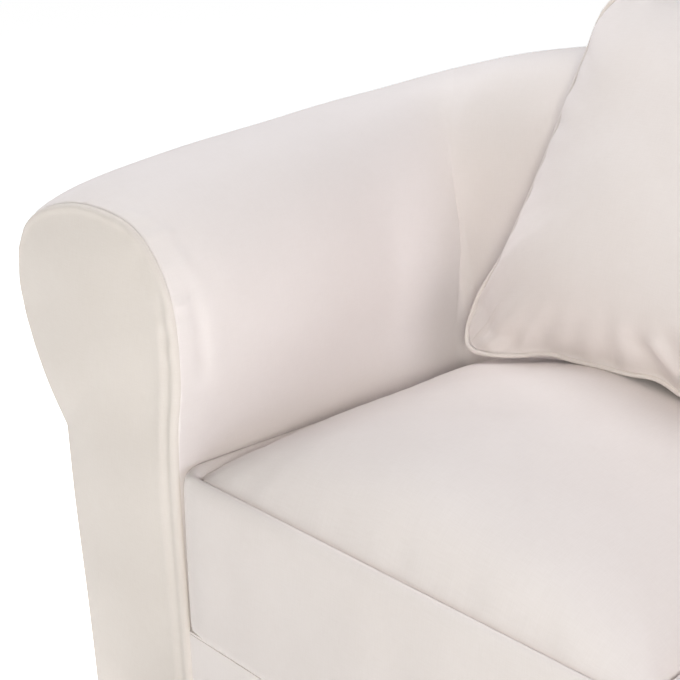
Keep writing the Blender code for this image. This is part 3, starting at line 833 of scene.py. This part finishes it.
def rounded_rim(half, radius, side_points, corner_points):
    """Points round a rectangle with rounded corners: arrays of half sizes and radii give one ring each.

    It starts on the front side and runs towards +x. Each side has the same number of points in every ring, so
    rings of different corners join up.
    """
    half, radius = np.atleast_2d(half), np.atleast_1d(radius)[:, None]
    turn = np.linspace(0.0, 0.5 * np.pi, corner_points + 1)[None, :-1]
    run = np.linspace(-1.0, 1.0, side_points + 1)[None, :-1]
    parts = []
    for k, (cos, sin) in enumerate(((1, 0), (0, 1), (-1, 0), (0, -1))):
        side, depth = (half[:, :1], half[:, 1:]) if k % 2 == 0 else (half[:, 1:], half[:, :1])
        straight = side - radius
        way = np.concatenate([run * straight, straight + radius * np.sin(turn)], axis=1)
        off = np.concatenate([-depth + 0.0 * run, -(depth - radius) - radius * np.cos(turn)], axis=1)
        parts.append(np.stack([cos * way - sin * off, sin * way + cos * off], axis=2))
    return np.concatenate(parts, axis=1)


def seat_layout():
    """The left seat cushion's middle, its half sizes at the box, and its half sizes at the seams."""
    low = np.array([ARM_X + SEAT_SIDE_GAP, FRONT_Y - SEAT_FRONT_OUT])
    high = np.array([-0.5 * SEAT_MIDDLE_GAP, BACK_Y - SEAT_BACK_GAP])
    half = 0.5 * (high - low)
    return 0.5 * (low + high), half, half - (SEAT_SIDE_INSET, SEAT_END_INSET)


def seam_gauge(across, along, power):
    """0 in the middle of a cushion and 1 on its seam, a rectangle with rounded corners."""
    return np.clip((np.abs(across) ** power + np.abs(along) ** power) ** (1.0 / power), 0.0, 1.0)


def crown_height(across, along, power, arch, fullness):
    """((1 - |across|^a)(1 - |along|^b))^fullness * (1 - gauge^SEAM_POWER): a share of the crown, 0 on the
    seam. Both arches are softened in the very middle, so that no ridge runs along it."""
    ring = seam_gauge(across, along, power)
    side_arch, end_arch = (
        np.clip(1.0 - ((place**2 + SOFT_MIDDLE) / (1.0 + SOFT_MIDDLE)) ** (0.5 * power), 0.0, 1.0)
        for place, power in zip((across, along), arch)
    )
    return (side_arch * end_arch) ** fullness * (1.0 - ring**SEAM_POWER)


def seat_top(x, y):
    """The height of a seat cushion's top over a point, or of its seam past its edge: the seam, which falls to
    the rear, plus the crown, which swells to the rear."""
    middle, _, seam = seat_layout()
    across = (-np.abs(x) - middle[0]) / seam[0]
    along = (y - middle[1]) / seam[1]
    pitch = SEAT_PITCH * (y - (middle[1] - seam[1]))
    crown = crown_height(across, along, SEAT_CORNER_POWER, SEAT_ARCH, SEAT_FULLNESS)
    return SEAM_HEIGHT - pitch + SEAT_CROWN * crown * (1.0 + SEAT_SWELL_BACK * along)


# Rings of a seat cushion's top: shares of the way to the seam, then distances from it
TOP_SHARES = np.linspace(0.04, 0.94, 40)
TOP_NEAR = np.array([0.0120, 0.0090, 0.0068, 0.0050, 0.0037, 0.0027, 0.0019, 0.0012, 0.0006, 0.0])
SEAM_REACH = 0.26
# The border's rolled top edge, a row each ring: the share of the seam's inset that is left, and the height
# over the seam at the front and at the sides
BORDER_EDGE = (
    (1.000, -0.0036, -0.0036),
    (0.975, -0.0018, -0.0018),
    (0.930, -0.0004, 0.0004),
    (0.820, 0.0006, 0.0026),
    (0.640, 0.0002, 0.0042),
    (0.460, -0.0014, 0.0046),
    (0.300, -0.0040, 0.0036),
    (0.160, -0.0078, 0.0010),
    (0.060, -0.0125, -0.0040),
    (0.010, -0.0180, -0.0110),
    (0.000, -0.0250, -0.0190),
)
# Rings down the border, and rings underneath as shares of the way out
BORDER_RINGS = 22
UNDER_SHARES = np.array([0.93, 0.8, 0.55, 0.28])
# The corners' radii on the seam and on the box
SEAT_RADIUS, BOX_RADIUS = 0.008, 0.009
# The cloth rolls in towards the seam, then sinks into it: depths and widths
SEAM_ROLL, ROLL_WIDTH, SEAM_DEPTH, SEAM_LINE = 0.0014, 0.0045, 0.0042, 0.0014
# The notch where the seam turns at the front corners: distance in from it, half width, depth
NOTCH_IN, NOTCH_WIDTH, NOTCH_DEPTH = 0.0022, 0.0052, 0.0100
# Soft troughs and ridges on a seat cushion's top, seen from above
SEAT_FOLDS = (
    ((-0.560, -0.400), (-0.520, -0.280), 0.030, -0.0016),
    ((-0.470, -0.400), (-0.400, -0.250), 0.034, 0.0014),
)
# How far the border stands past the box at the sides, and how much less near the front
BOX_FILL, BOX_SHY, SHY_FROM = 0.0022, 0.0082, (0.90, 1.0)
# How far it stands forward in front, and the share of the cushion's length where the front starts
BOX_FORWARD, BOX_FRONT = 0.004, (0.90, 0.97)
# How far it turns back beside a front corner, how far it bulges, and both their distances from the side
BOX_FACET, FACET_REACH, BOX_BULGE, BULGE_REACH = 0.0034, (0.002, 0.036), 0.004, (0.0, 0.06)
# The border's roll into the bottom: its radius and how much of its quarter circle it goes through
BOTTOM_ROLL, ROLL_SHARE = 0.012, 0.96
# The border's waves: height, pitch
BORDER_WAVE, BORDER_PITCH = 0.0008, 0.11
# Points of a ring along each side and round each corner
SIDE_POINTS, CORNER_POINTS = 96, 8
SEAT_BOTTOM = DECK_HEIGHT + GAP


def seat_crown_rings(middle, seam, rim):
    """Rings from the middle of the crown out to the sunk seam, and each ring's distance from the seam."""
    shares = np.concatenate([TOP_SHARES, 1.0 - TOP_NEAR / SEAM_REACH])[:, None]
    from_seam = (1.0 - shares) * SEAM_REACH
    x, y = middle[0] + shares * rim[:, 0], middle[1] + shares * rim[:, 1]
    sink = SEAM_ROLL * np.exp(-from_seam / ROLL_WIDTH) + SEAM_DEPTH * bell(from_seam, 0.0, SEAM_LINE)
    to_corner = np.hypot(np.abs(x - middle[0]) - seam[0] + NOTCH_IN, y - middle[1] + seam[1] - NOTCH_IN)
    sink = sink + NOTCH_DEPTH * bell(to_corner, 0.0, NOTCH_WIDTH)
    return np.stack([x, y, seat_top(x, y) - sink], axis=2), from_seam


def seat_border_rings(middle, half, seam, rim):
    """Rings over the border's rolled top edge, down the border and round the bottom roll, and how far down
    each of their points lies, from 0 at the seam to 1 at the bottom."""
    seam_height = seat_top(middle[0] + rim[:, 0], middle[1] + rim[:, 1])
    lefts, at_front, at_side = np.array(BORDER_EDGE).T
    lefts = np.concatenate([lefts, np.zeros(BORDER_RINGS)])
    radius = SEAT_RADIUS + (BOX_RADIUS - SEAT_RADIUS) * (1.0 - lefts)
    box = rounded_rim(half - lefts[:, None] * (half - seam), radius, SIDE_POINTS, CORNER_POINTS)
    sideways, endways = (np.abs(rim / seam) ** SEAM_POWER).T
    sideways = sideways / (sideways + endways)
    edge = seam_height + at_front[:, None] + (at_side - at_front)[:, None] * sideways
    downs = np.linspace(0.0, 1.0, BORDER_RINGS + 1)[1:, None]
    z = np.concatenate([edge, edge[-1] + downs * (SEAT_BOTTOM - edge[-1])])
    fallen = np.clip((seam_height - z) / (seam_height - SEAT_BOTTOM), 0.0, 1.0)
    in_roll = np.clip((BOTTOM_ROLL - (z - SEAT_BOTTOM)) / BOTTOM_ROLL, 0.0, 1.0)
    tuck = BOTTOM_ROLL * (1.0 - np.sqrt(1.0 - ROLL_SHARE * in_roll**2))
    box = box * (1.0 - tuck[..., None] / half)
    x, y = box[..., 0], box[..., 1]
    spread = (1.0 - lefts)[:, None]
    front = ramp(-y / half[1], *BOX_FRONT)
    from_side = half[0] - np.abs(x)
    recede = BOX_FACET * fade(from_side, *FACET_REACH) * front
    bulge = BOX_BULGE * np.sin(np.pi * fallen) * ramp(from_side, *BULGE_REACH) * front
    y = y + spread * (recede - BOX_FORWARD * front) - bulge
    fill = BOX_FILL - BOX_SHY * ramp(-y / half[1], *SHY_FROM)
    x = x - spread * fill * ramp(-x / half[0], 0.0, 1.0)
    return np.stack([middle[0] + x, middle[1] + y, z], axis=2), fallen


def seat_cushion(side, node, seed):
    """A box cushion: rings of points run from the middle of its crown out to a sunk top seam, over the
    border's rolled top edge, down the border, round the bottom roll and in to the middle underneath."""
    middle, half, seam = seat_layout()
    rim = rounded_rim(seam, SEAT_RADIUS, SIDE_POINTS, CORNER_POINTS)[0]
    crown, from_seam = seat_crown_rings(middle, seam, rim)
    border, fallen = seat_border_rings(middle, half, seam, rim)
    under = middle + UNDER_SHARES[:, None, None] * (border[-1, :, :2] - middle)
    under = np.concatenate([under, np.full((*under.shape[:2], 1), SEAT_BOTTOM)], axis=2)
    rings = np.concatenate([crown, border, under])
    on_crown, on_border = slice(0, len(crown)), slice(len(crown), len(crown) + len(border))

    arc = along_curve(np.vstack([rim, rim[:1]]))[:-1]
    uneven = slow_waves("seat cushion", crown[..., 0], crown[..., 1], from_seam, seed + 3)
    relief = np.zeros(rings.shape[:2])
    relief[on_crown] = puckers("seat cushion", arc, from_seam, seed) + uneven
    relief[on_crown] += folds(crown[..., :2], SEAT_FOLDS)
    relief[on_border] = BORDER_WAVE * uneven_wave(arc, BORDER_PITCH, seed + 5) * np.sin(np.pi * fallen)
    rings = rings + relief[..., None] * outward_of(rings, wrap=True)
    rings[..., 2] = np.maximum(rings[..., 2], SEAT_BOTTOM)
    hubs = np.array([(*middle, seat_top(*middle)), (*middle, SEAT_BOTTOM)])
    points = np.concatenate([rings.reshape(-1, 3), hubs]) * (side, 1.0, 1.0)

    count = len(rim)
    groups = closed_grid(side, len(rings), count)
    flat = points[:, :2]
    upright = np.stack([np.broadcast_to(arc, rings.shape[:2]), rings[..., 2]], axis=2).reshape(-1, 2)
    ring = groups[2].max(axis=1)[:, None, None] // count
    on_side = (ring >= on_border.start) & (ring < on_border.stop)
    corners = flat[groups[0]], flat[groups[1]], np.where(on_side, upright[groups[2]], flat[groups[2]])
    piece = add_piece("canvas", node, CUSHION_CANVAS, CUSHION_SHARP, points, groups, corners)


def inside_back_y(z):
    """How far back a cushion may lean at a height: to the inside back's face, and freely above the roll."""
    up = np.clip(z - SEAM_HEIGHT, 0.0, None)
    over = np.clip(z - SEAM_HEIGHT - ROLL_TOP, 0.0, None)
    return BACK_Y - INSIDE_SWELL + BACK_LEAN * up + OVER_ROLL * over


def lean_back_cushion(across, height, depth):
    """A back cushion's own coordinates (across, up its height, and to the rear) put in place: narrower going
    up, turned in its own plane, tilted to the rear and stood on its foot."""
    across = across * (1.0 - BACK_TAPER * height / BACK_HEIGHT)
    side = np.cos(BACK_TURN) * across + np.sin(BACK_TURN) * height
    rise = np.cos(BACK_TURN) * height - np.sin(BACK_TURN) * across
    y = BACK_FOOT_Y + np.sin(BACK_TILT) * rise + np.cos(BACK_TILT) * depth
    z = BACK_FOOT_Z + np.cos(BACK_TILT) * rise - np.sin(BACK_TILT) * depth
    return side - BACK_X, y, z


def place_back_cushion(across, height, depth, clear):
    """Points of the left back cushion, stood on the seat cushion's crown and stopped by the inside back."""
    foot_x, foot_y, foot_z = lean_back_cushion(across, 0.0, 0.0)
    lift = seat_top(foot_x, foot_y) + SEAM_CLEAR - foot_z
    x, y, z = lean_back_cushion(across, height, depth)
    z = z + lift * (1.0 - height / BACK_HEIGHT)
    y = np.minimum(y, inside_back_y(z) - clear)
    z = np.maximum(z, seat_top(x, y) + clear)
    return np.stack([x, y, z], axis=-1)


# How evenly a rim's points are spread, from 0, closest at its corners, to 1
EVEN_SHARE = 0.35
# Points on each side of a back cushion's seam and of its piping, and round the piping
BACK_SIDE_POINTS, PIPING_SIDE_POINTS, PIPING_SIDES = 88, 110, 12
# Rings of a back cushion's face, as shares of the way to its seam, closest beside it
BACK_SHARES = np.concatenate([np.linspace(0.05, 0.80, 26), np.linspace(0.80, 0.995, 24)[1:]])
# The gap between a back cushion's seam and its piping
PIPING_SEAT = 0.0002


def superellipse_rim(power, side_points):
    """Points round the unit square pulled to a superellipse, evenly spread but closer at its corners."""
    even = np.linspace(-1.0, 1.0, side_points + 1)[:-1]
    run = EVEN_SHARE * even + (1.0 - EVEN_SHARE) * np.sin(0.5 * np.pi * even)
    one = np.ones_like(run)
    sides = (run, -one), (one, run), (-run, one), (-one, -run)
    square = np.concatenate([np.stack(side, axis=1) for side in sides])
    gauge = (np.abs(square) ** power).sum(axis=1) ** (1.0 / power)
    return square / gauge[:, None]


def back_seam(plain, grow=0.0):
    """A back cushion's seam line: corners that stand out, and sides drawn in between them by (1 - t^2)^2, with
    t from -1 to 1 along a side. The upper part of the sides is drawn in further."""
    half = 0.5 * np.array([BACK_WIDTH, BACK_HEIGHT])
    side_draw = SIDE_DRAW * (1.0 - plain[:, 1] ** 2) ** 2
    across = 1.0 - plain[:, 0] ** 2
    end_draw = np.where(plain[:, 1] > 0.0, TOP_DRAW * across, FOOT_DRAW * across**2)
    height = half[1] * (1.0 + plain[:, 1])
    side_draw += UPPER_DRAW * ramp(height, *UPPER_FROM) * ramp(BACK_HEIGHT - height, *UPPER_TO)
    return plain * (half - np.column_stack([side_draw, end_draw]) + grow)


# Lifts of the seam along a back cushion's foot: place across, half width, height
FOOT_LIFTS = (
    (-0.117, 0.030, 0.006),
    (0.028, 0.026, 0.009),
    (0.085, 0.035, 0.003),
)
# How far the seam along the foot stands to the rear: place across, half width, distance
FOOT_SHIFTS = (
    (-0.205, 0.050, -0.012),
    (0.070, 0.050, 0.012),
)
# How far up the cushion these waves die away
WAVE_FADE = 0.05
# Folds on a back cushion's front, in places across and up it
CUSHION_FOLDS = (
    ((-0.262, 0.100), (-0.205, 0.035), 0.018, -0.007),
    ((-0.215, 0.040), (-0.150, 0.020), 0.012, -0.005),
    ((0.000, 0.060), (0.045, 0.015), 0.013, -0.006),
    ((0.050, 0.080), (0.085, 0.030), 0.014, -0.006),
    ((0.028, 0.060), (0.068, 0.018), 0.010, 0.005),
)


def foot_wave(table, across, height):
    """A wave of the seam along the foot, a sum of bell curves, dying away up the cushion."""
    total = sum(rise * bell(across, place, width) for place, width, rise in table)
    return total * np.exp(-np.clip(height, 0.0, None) / WAVE_FADE)


def waved_back_cushion(across, height, depth, clear):
    """Points of the left back cushion in place, its foot lifted and shifted by the waves along its seam."""
    lifted = height + foot_wave(FOOT_LIFTS, across, height)
    return place_back_cushion(across, lifted, depth + foot_wave(FOOT_SHIFTS, across, height), clear)


def back_cushion(side, node, seed):
    """A knife-edge cushion: two crowned faces that meet in one seam, with folds and puckers beside it."""
    plain = superellipse_rim(BACK_CORNER_POWER, BACK_SIDE_POINTS)
    rim = back_seam(plain)
    arc = along_curve(np.vstack([rim, rim[:1]]))[:-1]
    up = 0.5 * BACK_HEIGHT
    rings = []
    for face, run in ((-1.0, BACK_SHARES), (1.0, BACK_SHARES[::-1])):
        share = run[:, None]
        across, height = share * rim[:, 0], up + share * rim[:, 1]
        fullness = BACK_FULLNESS + (UPPER_FULLNESS - BACK_FULLNESS) * ramp(height, *FULLNESS_HEIGHTS)
        crown = crown_height(share * plain[:, 0], share * plain[:, 1], BACK_CORNER_POWER, BACK_ARCH, fullness)
        from_seam = (1.0 - share) * BACK_SEAM_REACH
        swell = puckers("back cushion", arc, from_seam, seed + int(face))
        swell = swell + slow_waves("back cushion", across, height, from_seam, seed + 2)
        if face < 0.0:
            swell = swell + folds(np.stack([across, height], axis=-1), CUSHION_FOLDS)
        depth = face * (EDGE_HALF + 0.5 * BACK_THICKNESS * crown + swell)
        rings.append(waved_back_cushion(across, height, depth, REST_GAP))
        if face < 0.0:
            across, height = np.stack([rim, rim], axis=1).T
            half = np.array([[-EDGE_HALF], [EDGE_HALF]])
            rings.append(waved_back_cushion(across, up + height, half, PIPING_CLEAR))
    rings = np.concatenate(rings)
    reach = EDGE_HALF + 0.5 * BACK_THICKNESS
    hubs = [place_back_cushion(0.0, up, depth, REST_GAP) for depth in (-reach, reach)]
    points = np.vstack([rings.reshape(-1, 3), *hubs]) * (side, 1.0, 1.0)
    groups = closed_grid(side, len(rings), len(rim))
    radial = np.concatenate([BACK_SHARES, [1.0, 1.0], BACK_SHARES[::-1]])[:, None, None]
    lay = np.vstack([(radial * rim).reshape(-1, 2), np.zeros((2, 2))])
    corners = [lay[group] for group in groups]
    piece = add_piece("canvas", node, CUSHION_CANVAS, CUSHION_SHARP, points, groups, corners)


def back_cushion_piping(side, node):
    """A cord covered in bias-cut cloth round a back cushion's seam: circles carried along the seam's line."""
    rim = back_seam(superellipse_rim(BACK_CORNER_POWER, PIPING_SIDE_POINTS), PIPING_RADIUS + PIPING_SEAT)
    path = waved_back_cushion(rim[:, 0], 0.5 * BACK_HEIGHT + rim[:, 1], np.zeros(len(rim)), PIPING_CLEAR)
    along = np.roll(path, -1, axis=0) - np.roll(path, 1, axis=0)
    along /= np.linalg.norm(along, axis=1)[:, None]
    side_way = np.cross(along, (0.0, np.cos(BACK_TILT), -np.sin(BACK_TILT)))
    side_way /= np.linalg.norm(side_way, axis=1)[:, None]
    other_way = np.cross(side_way, along)
    turn = (np.arange(PIPING_SIDES + 1) * 2.0 * np.pi / PIPING_SIDES)[:, None]
    tube = (
        path[:, None]
        + PIPING_RADIUS * np.cos(turn[:-1]) * side_way[:, None]
        + PIPING_RADIUS * np.sin(turn[:-1]) * other_way[:, None]
    )
    points = tube.reshape(-1, 3) * (side, 1.0, 1.0)
    grid = quads(len(path), PIPING_SIDES, wrap=True, ring=True)
    way = along_curve(np.vstack([path, path[:1]]))[:, None]
    lay = np.stack(np.broadcast_arrays(way, turn.T * PIPING_RADIUS), axis=2).reshape(-1, 2)
    corners = lay[quads(len(path) + 1, PIPING_SIDES + 1)]
    groups, corners = facing_out(side, [grid]), facing_out(side, [corners])
    add_piece("piping", node, PIPING_CLOTH, CUSHION_SHARP, points, groups, corners)


inside_panels()
outside_panels()
front_panels()
deck_and_rail()
seat_cushion(1.0, "seat_cushion_left", 71)
seat_cushion(-1.0, "seat_cushion_right", 73)
back_cushion(1.0, "back_cushion_left", 81)
back_cushion(-1.0, "back_cushion_right", 87)
back_cushion_piping(1.0, "back_cushion_piping_left")
back_cushion_piping(-1.0, "back_cushion_piping_right")


# ---------------------------------------------------------------- floor, light and camera


FLOOR_REACH, FLOOR_DROP = 60.0, 0.002
FLOOR_SHINE = {"Base Color": (0.92, 0.92, 0.92, 1.0), "Roughness": 0.9, "Emission Strength": 1.0}
# The floor's glow is painted light that brightens the backdrop and lights the sofa, mostly from the left and
# the rear: it glows softly past these distances to the right, left, rear and front, and stays dim between them
FLOOR_GLOW_FROM = ((1.4, 2.4), (0.60, 0.86), (0.30, 0.50), (1.6, 2.8))
FLOOR_GLOW = (0.99, 0.99, 0.99)
FLOOR_DIM = (0.06, 0.06, 0.06)


def floor():
    """A wide pale floor just under the hem. Its glow is the blend of the glowing and the dim colour by the
    product, over the four ways out from the middle, of a smooth step from 1 near to 0 far."""
    mesh = bpy.data.meshes.new("floor")
    corners = np.array([(-1, -1, 0), (1, -1, 0), (1, 1, 0), (-1, 1, 0)]) * FLOOR_REACH - (0, 0, FLOOR_DROP)
    mesh.from_pydata(corners.tolist(), [], [(0, 1, 2, 3)])
    piece = bpy.data.objects.new("floor", mesh)
    bpy.context.scene.collection.objects.link(piece)
    finish = Finish("pale floor")
    x, y = finish.x_and_y(finish.node("ShaderNodeTexCoord", output="Object"))
    dim = 1.0
    for distance, (near, far) in zip((x, -1.0 * x, y, -1.0 * y), FLOOR_GLOW_FROM):
        dim = dim * finish.step(distance, near, far, 1.0, 0.0)
    finish.feed(finish.shader.inputs["Emission Color"], finish.blend(dim, FLOOR_GLOW, FLOOR_DIM))
    for socket, value in FLOOR_SHINE.items():
        finish.feed(finish.shader.inputs[socket], value)
    mesh.materials.append(finish.material)


LAMP_AIM = (-0.45, -0.05, 0.50)
LAMP_DISTANCE = 3.0
ROOM_LIGHT = 0.04
# Large soft lights: degrees round from the front towards the right, degrees up, width, watts, colour
LAMPS = {
    "front": (38, 20, 0.5, 34.5, (1.0, 0.99, 0.905)),
    "right": (66, 38, 1.5, 7.0, (1.0, 1.01, 1.09)),
    "low_right": (75, 15, 1.2, 15.5, (1.0, 1.01, 1.16)),
    "high": (40, 62, 1.2, 1.0, (1.0, 1.0, 1.04)),
    "left": (270, 38, 1.8, 26.0, (1.0, 1.01, 1.06)),
    "left_high": (252, 65, 1.8, 44.0, (1.0, 1.01, 1.03)),
}
# A small light in the space behind each back cushion: its place, what it faces, width, watts, colour
CORNER_LAMP = ((-0.43, 0.120, 0.560), (-0.64, 0.120, 0.600), 0.05, 0.090, (0.94, 1.0, 1.12))


def hang_light(name, place, away, width, watts, colour):
    """A square soft light at a place, which shines the opposite way from away."""
    light = bpy.data.lights.new(name, "AREA")
    light.shape = "SQUARE"
    light.size = width
    light.energy = watts
    light.color = colour
    held = bpy.data.objects.new(name, light)
    held.location = place
    held.rotation_euler = away.to_track_quat("Z", "Y").to_euler()
    bpy.context.scene.collection.objects.link(held)


def lamp(name, azimuth, elevation, width, watts, colour):
    """A large light that faces the corner of the seat. Away is (sin a cos e, -cos a cos e, sin e)."""
    a, e = np.radians(azimuth), np.radians(elevation)
    away = Vector((np.sin(a) * np.cos(e), -np.cos(a) * np.cos(e), np.sin(e)))
    hang_light(name, Vector(LAMP_AIM) + LAMP_DISTANCE * away, away, width, watts, colour)


def corner_lamp(name, side):
    """A small light out of sight behind a back cushion, which lifts the shade in the seat's corner."""
    place, aim = (np.array(spot) * (side, 1.0, 1.0) for spot in CORNER_LAMP[:2])
    hang_light(name, place, Vector(place - aim), *CORNER_LAMP[2:])


def studio():
    """A dim room with large soft lights round the object, and a small one behind each back cushion."""
    world = bpy.data.worlds.new("studio")
    world.use_nodes = True
    world.node_tree.nodes["Background"].inputs["Strength"].default_value = ROOM_LIGHT
    bpy.context.scene.world = world
    for name, settings in LAMPS.items():
        lamp(name, *settings)
    corner_lamp("left_corner", 1.0)
    corner_lamp("right_corner", -1.0)


CAMERA_PLACE = (0.34266335, -1.17058739, 1.07901481)
CAMERA_AZIMUTH = 43.5
CAMERA_ELEVATION = 22.0
FOCAL_PIXELS = 1200.0
FRAME_PIXELS = 680.0
SENSOR_WIDTH = 36.0
NEAREST, FARTHEST = 0.05, 50.0


def camera():
    """The camera: forward is (-sin a cos e, cos a cos e, -sin e)."""
    a, e = np.radians(CAMERA_AZIMUTH), np.radians(CAMERA_ELEVATION)
    forward = Vector((-np.sin(a) * np.cos(e), np.cos(a) * np.cos(e), -np.sin(e)))
    lens = bpy.data.cameras.new("camera")
    lens.sensor_width = SENSOR_WIDTH
    lens.lens = FOCAL_PIXELS / FRAME_PIXELS * SENSOR_WIDTH
    lens.clip_start, lens.clip_end = NEAREST, FARTHEST
    held = bpy.data.objects.new("camera", lens)
    held.location = CAMERA_PLACE
    held.rotation_euler = forward.to_track_quat("-Z", "Y").to_euler()
    bpy.context.scene.collection.objects.link(held)
    bpy.context.scene.camera = held


floor()
studio()
camera()
bpy.context.scene.view_settings.view_transform = "Standard"
bpy.context.view_layer.update()
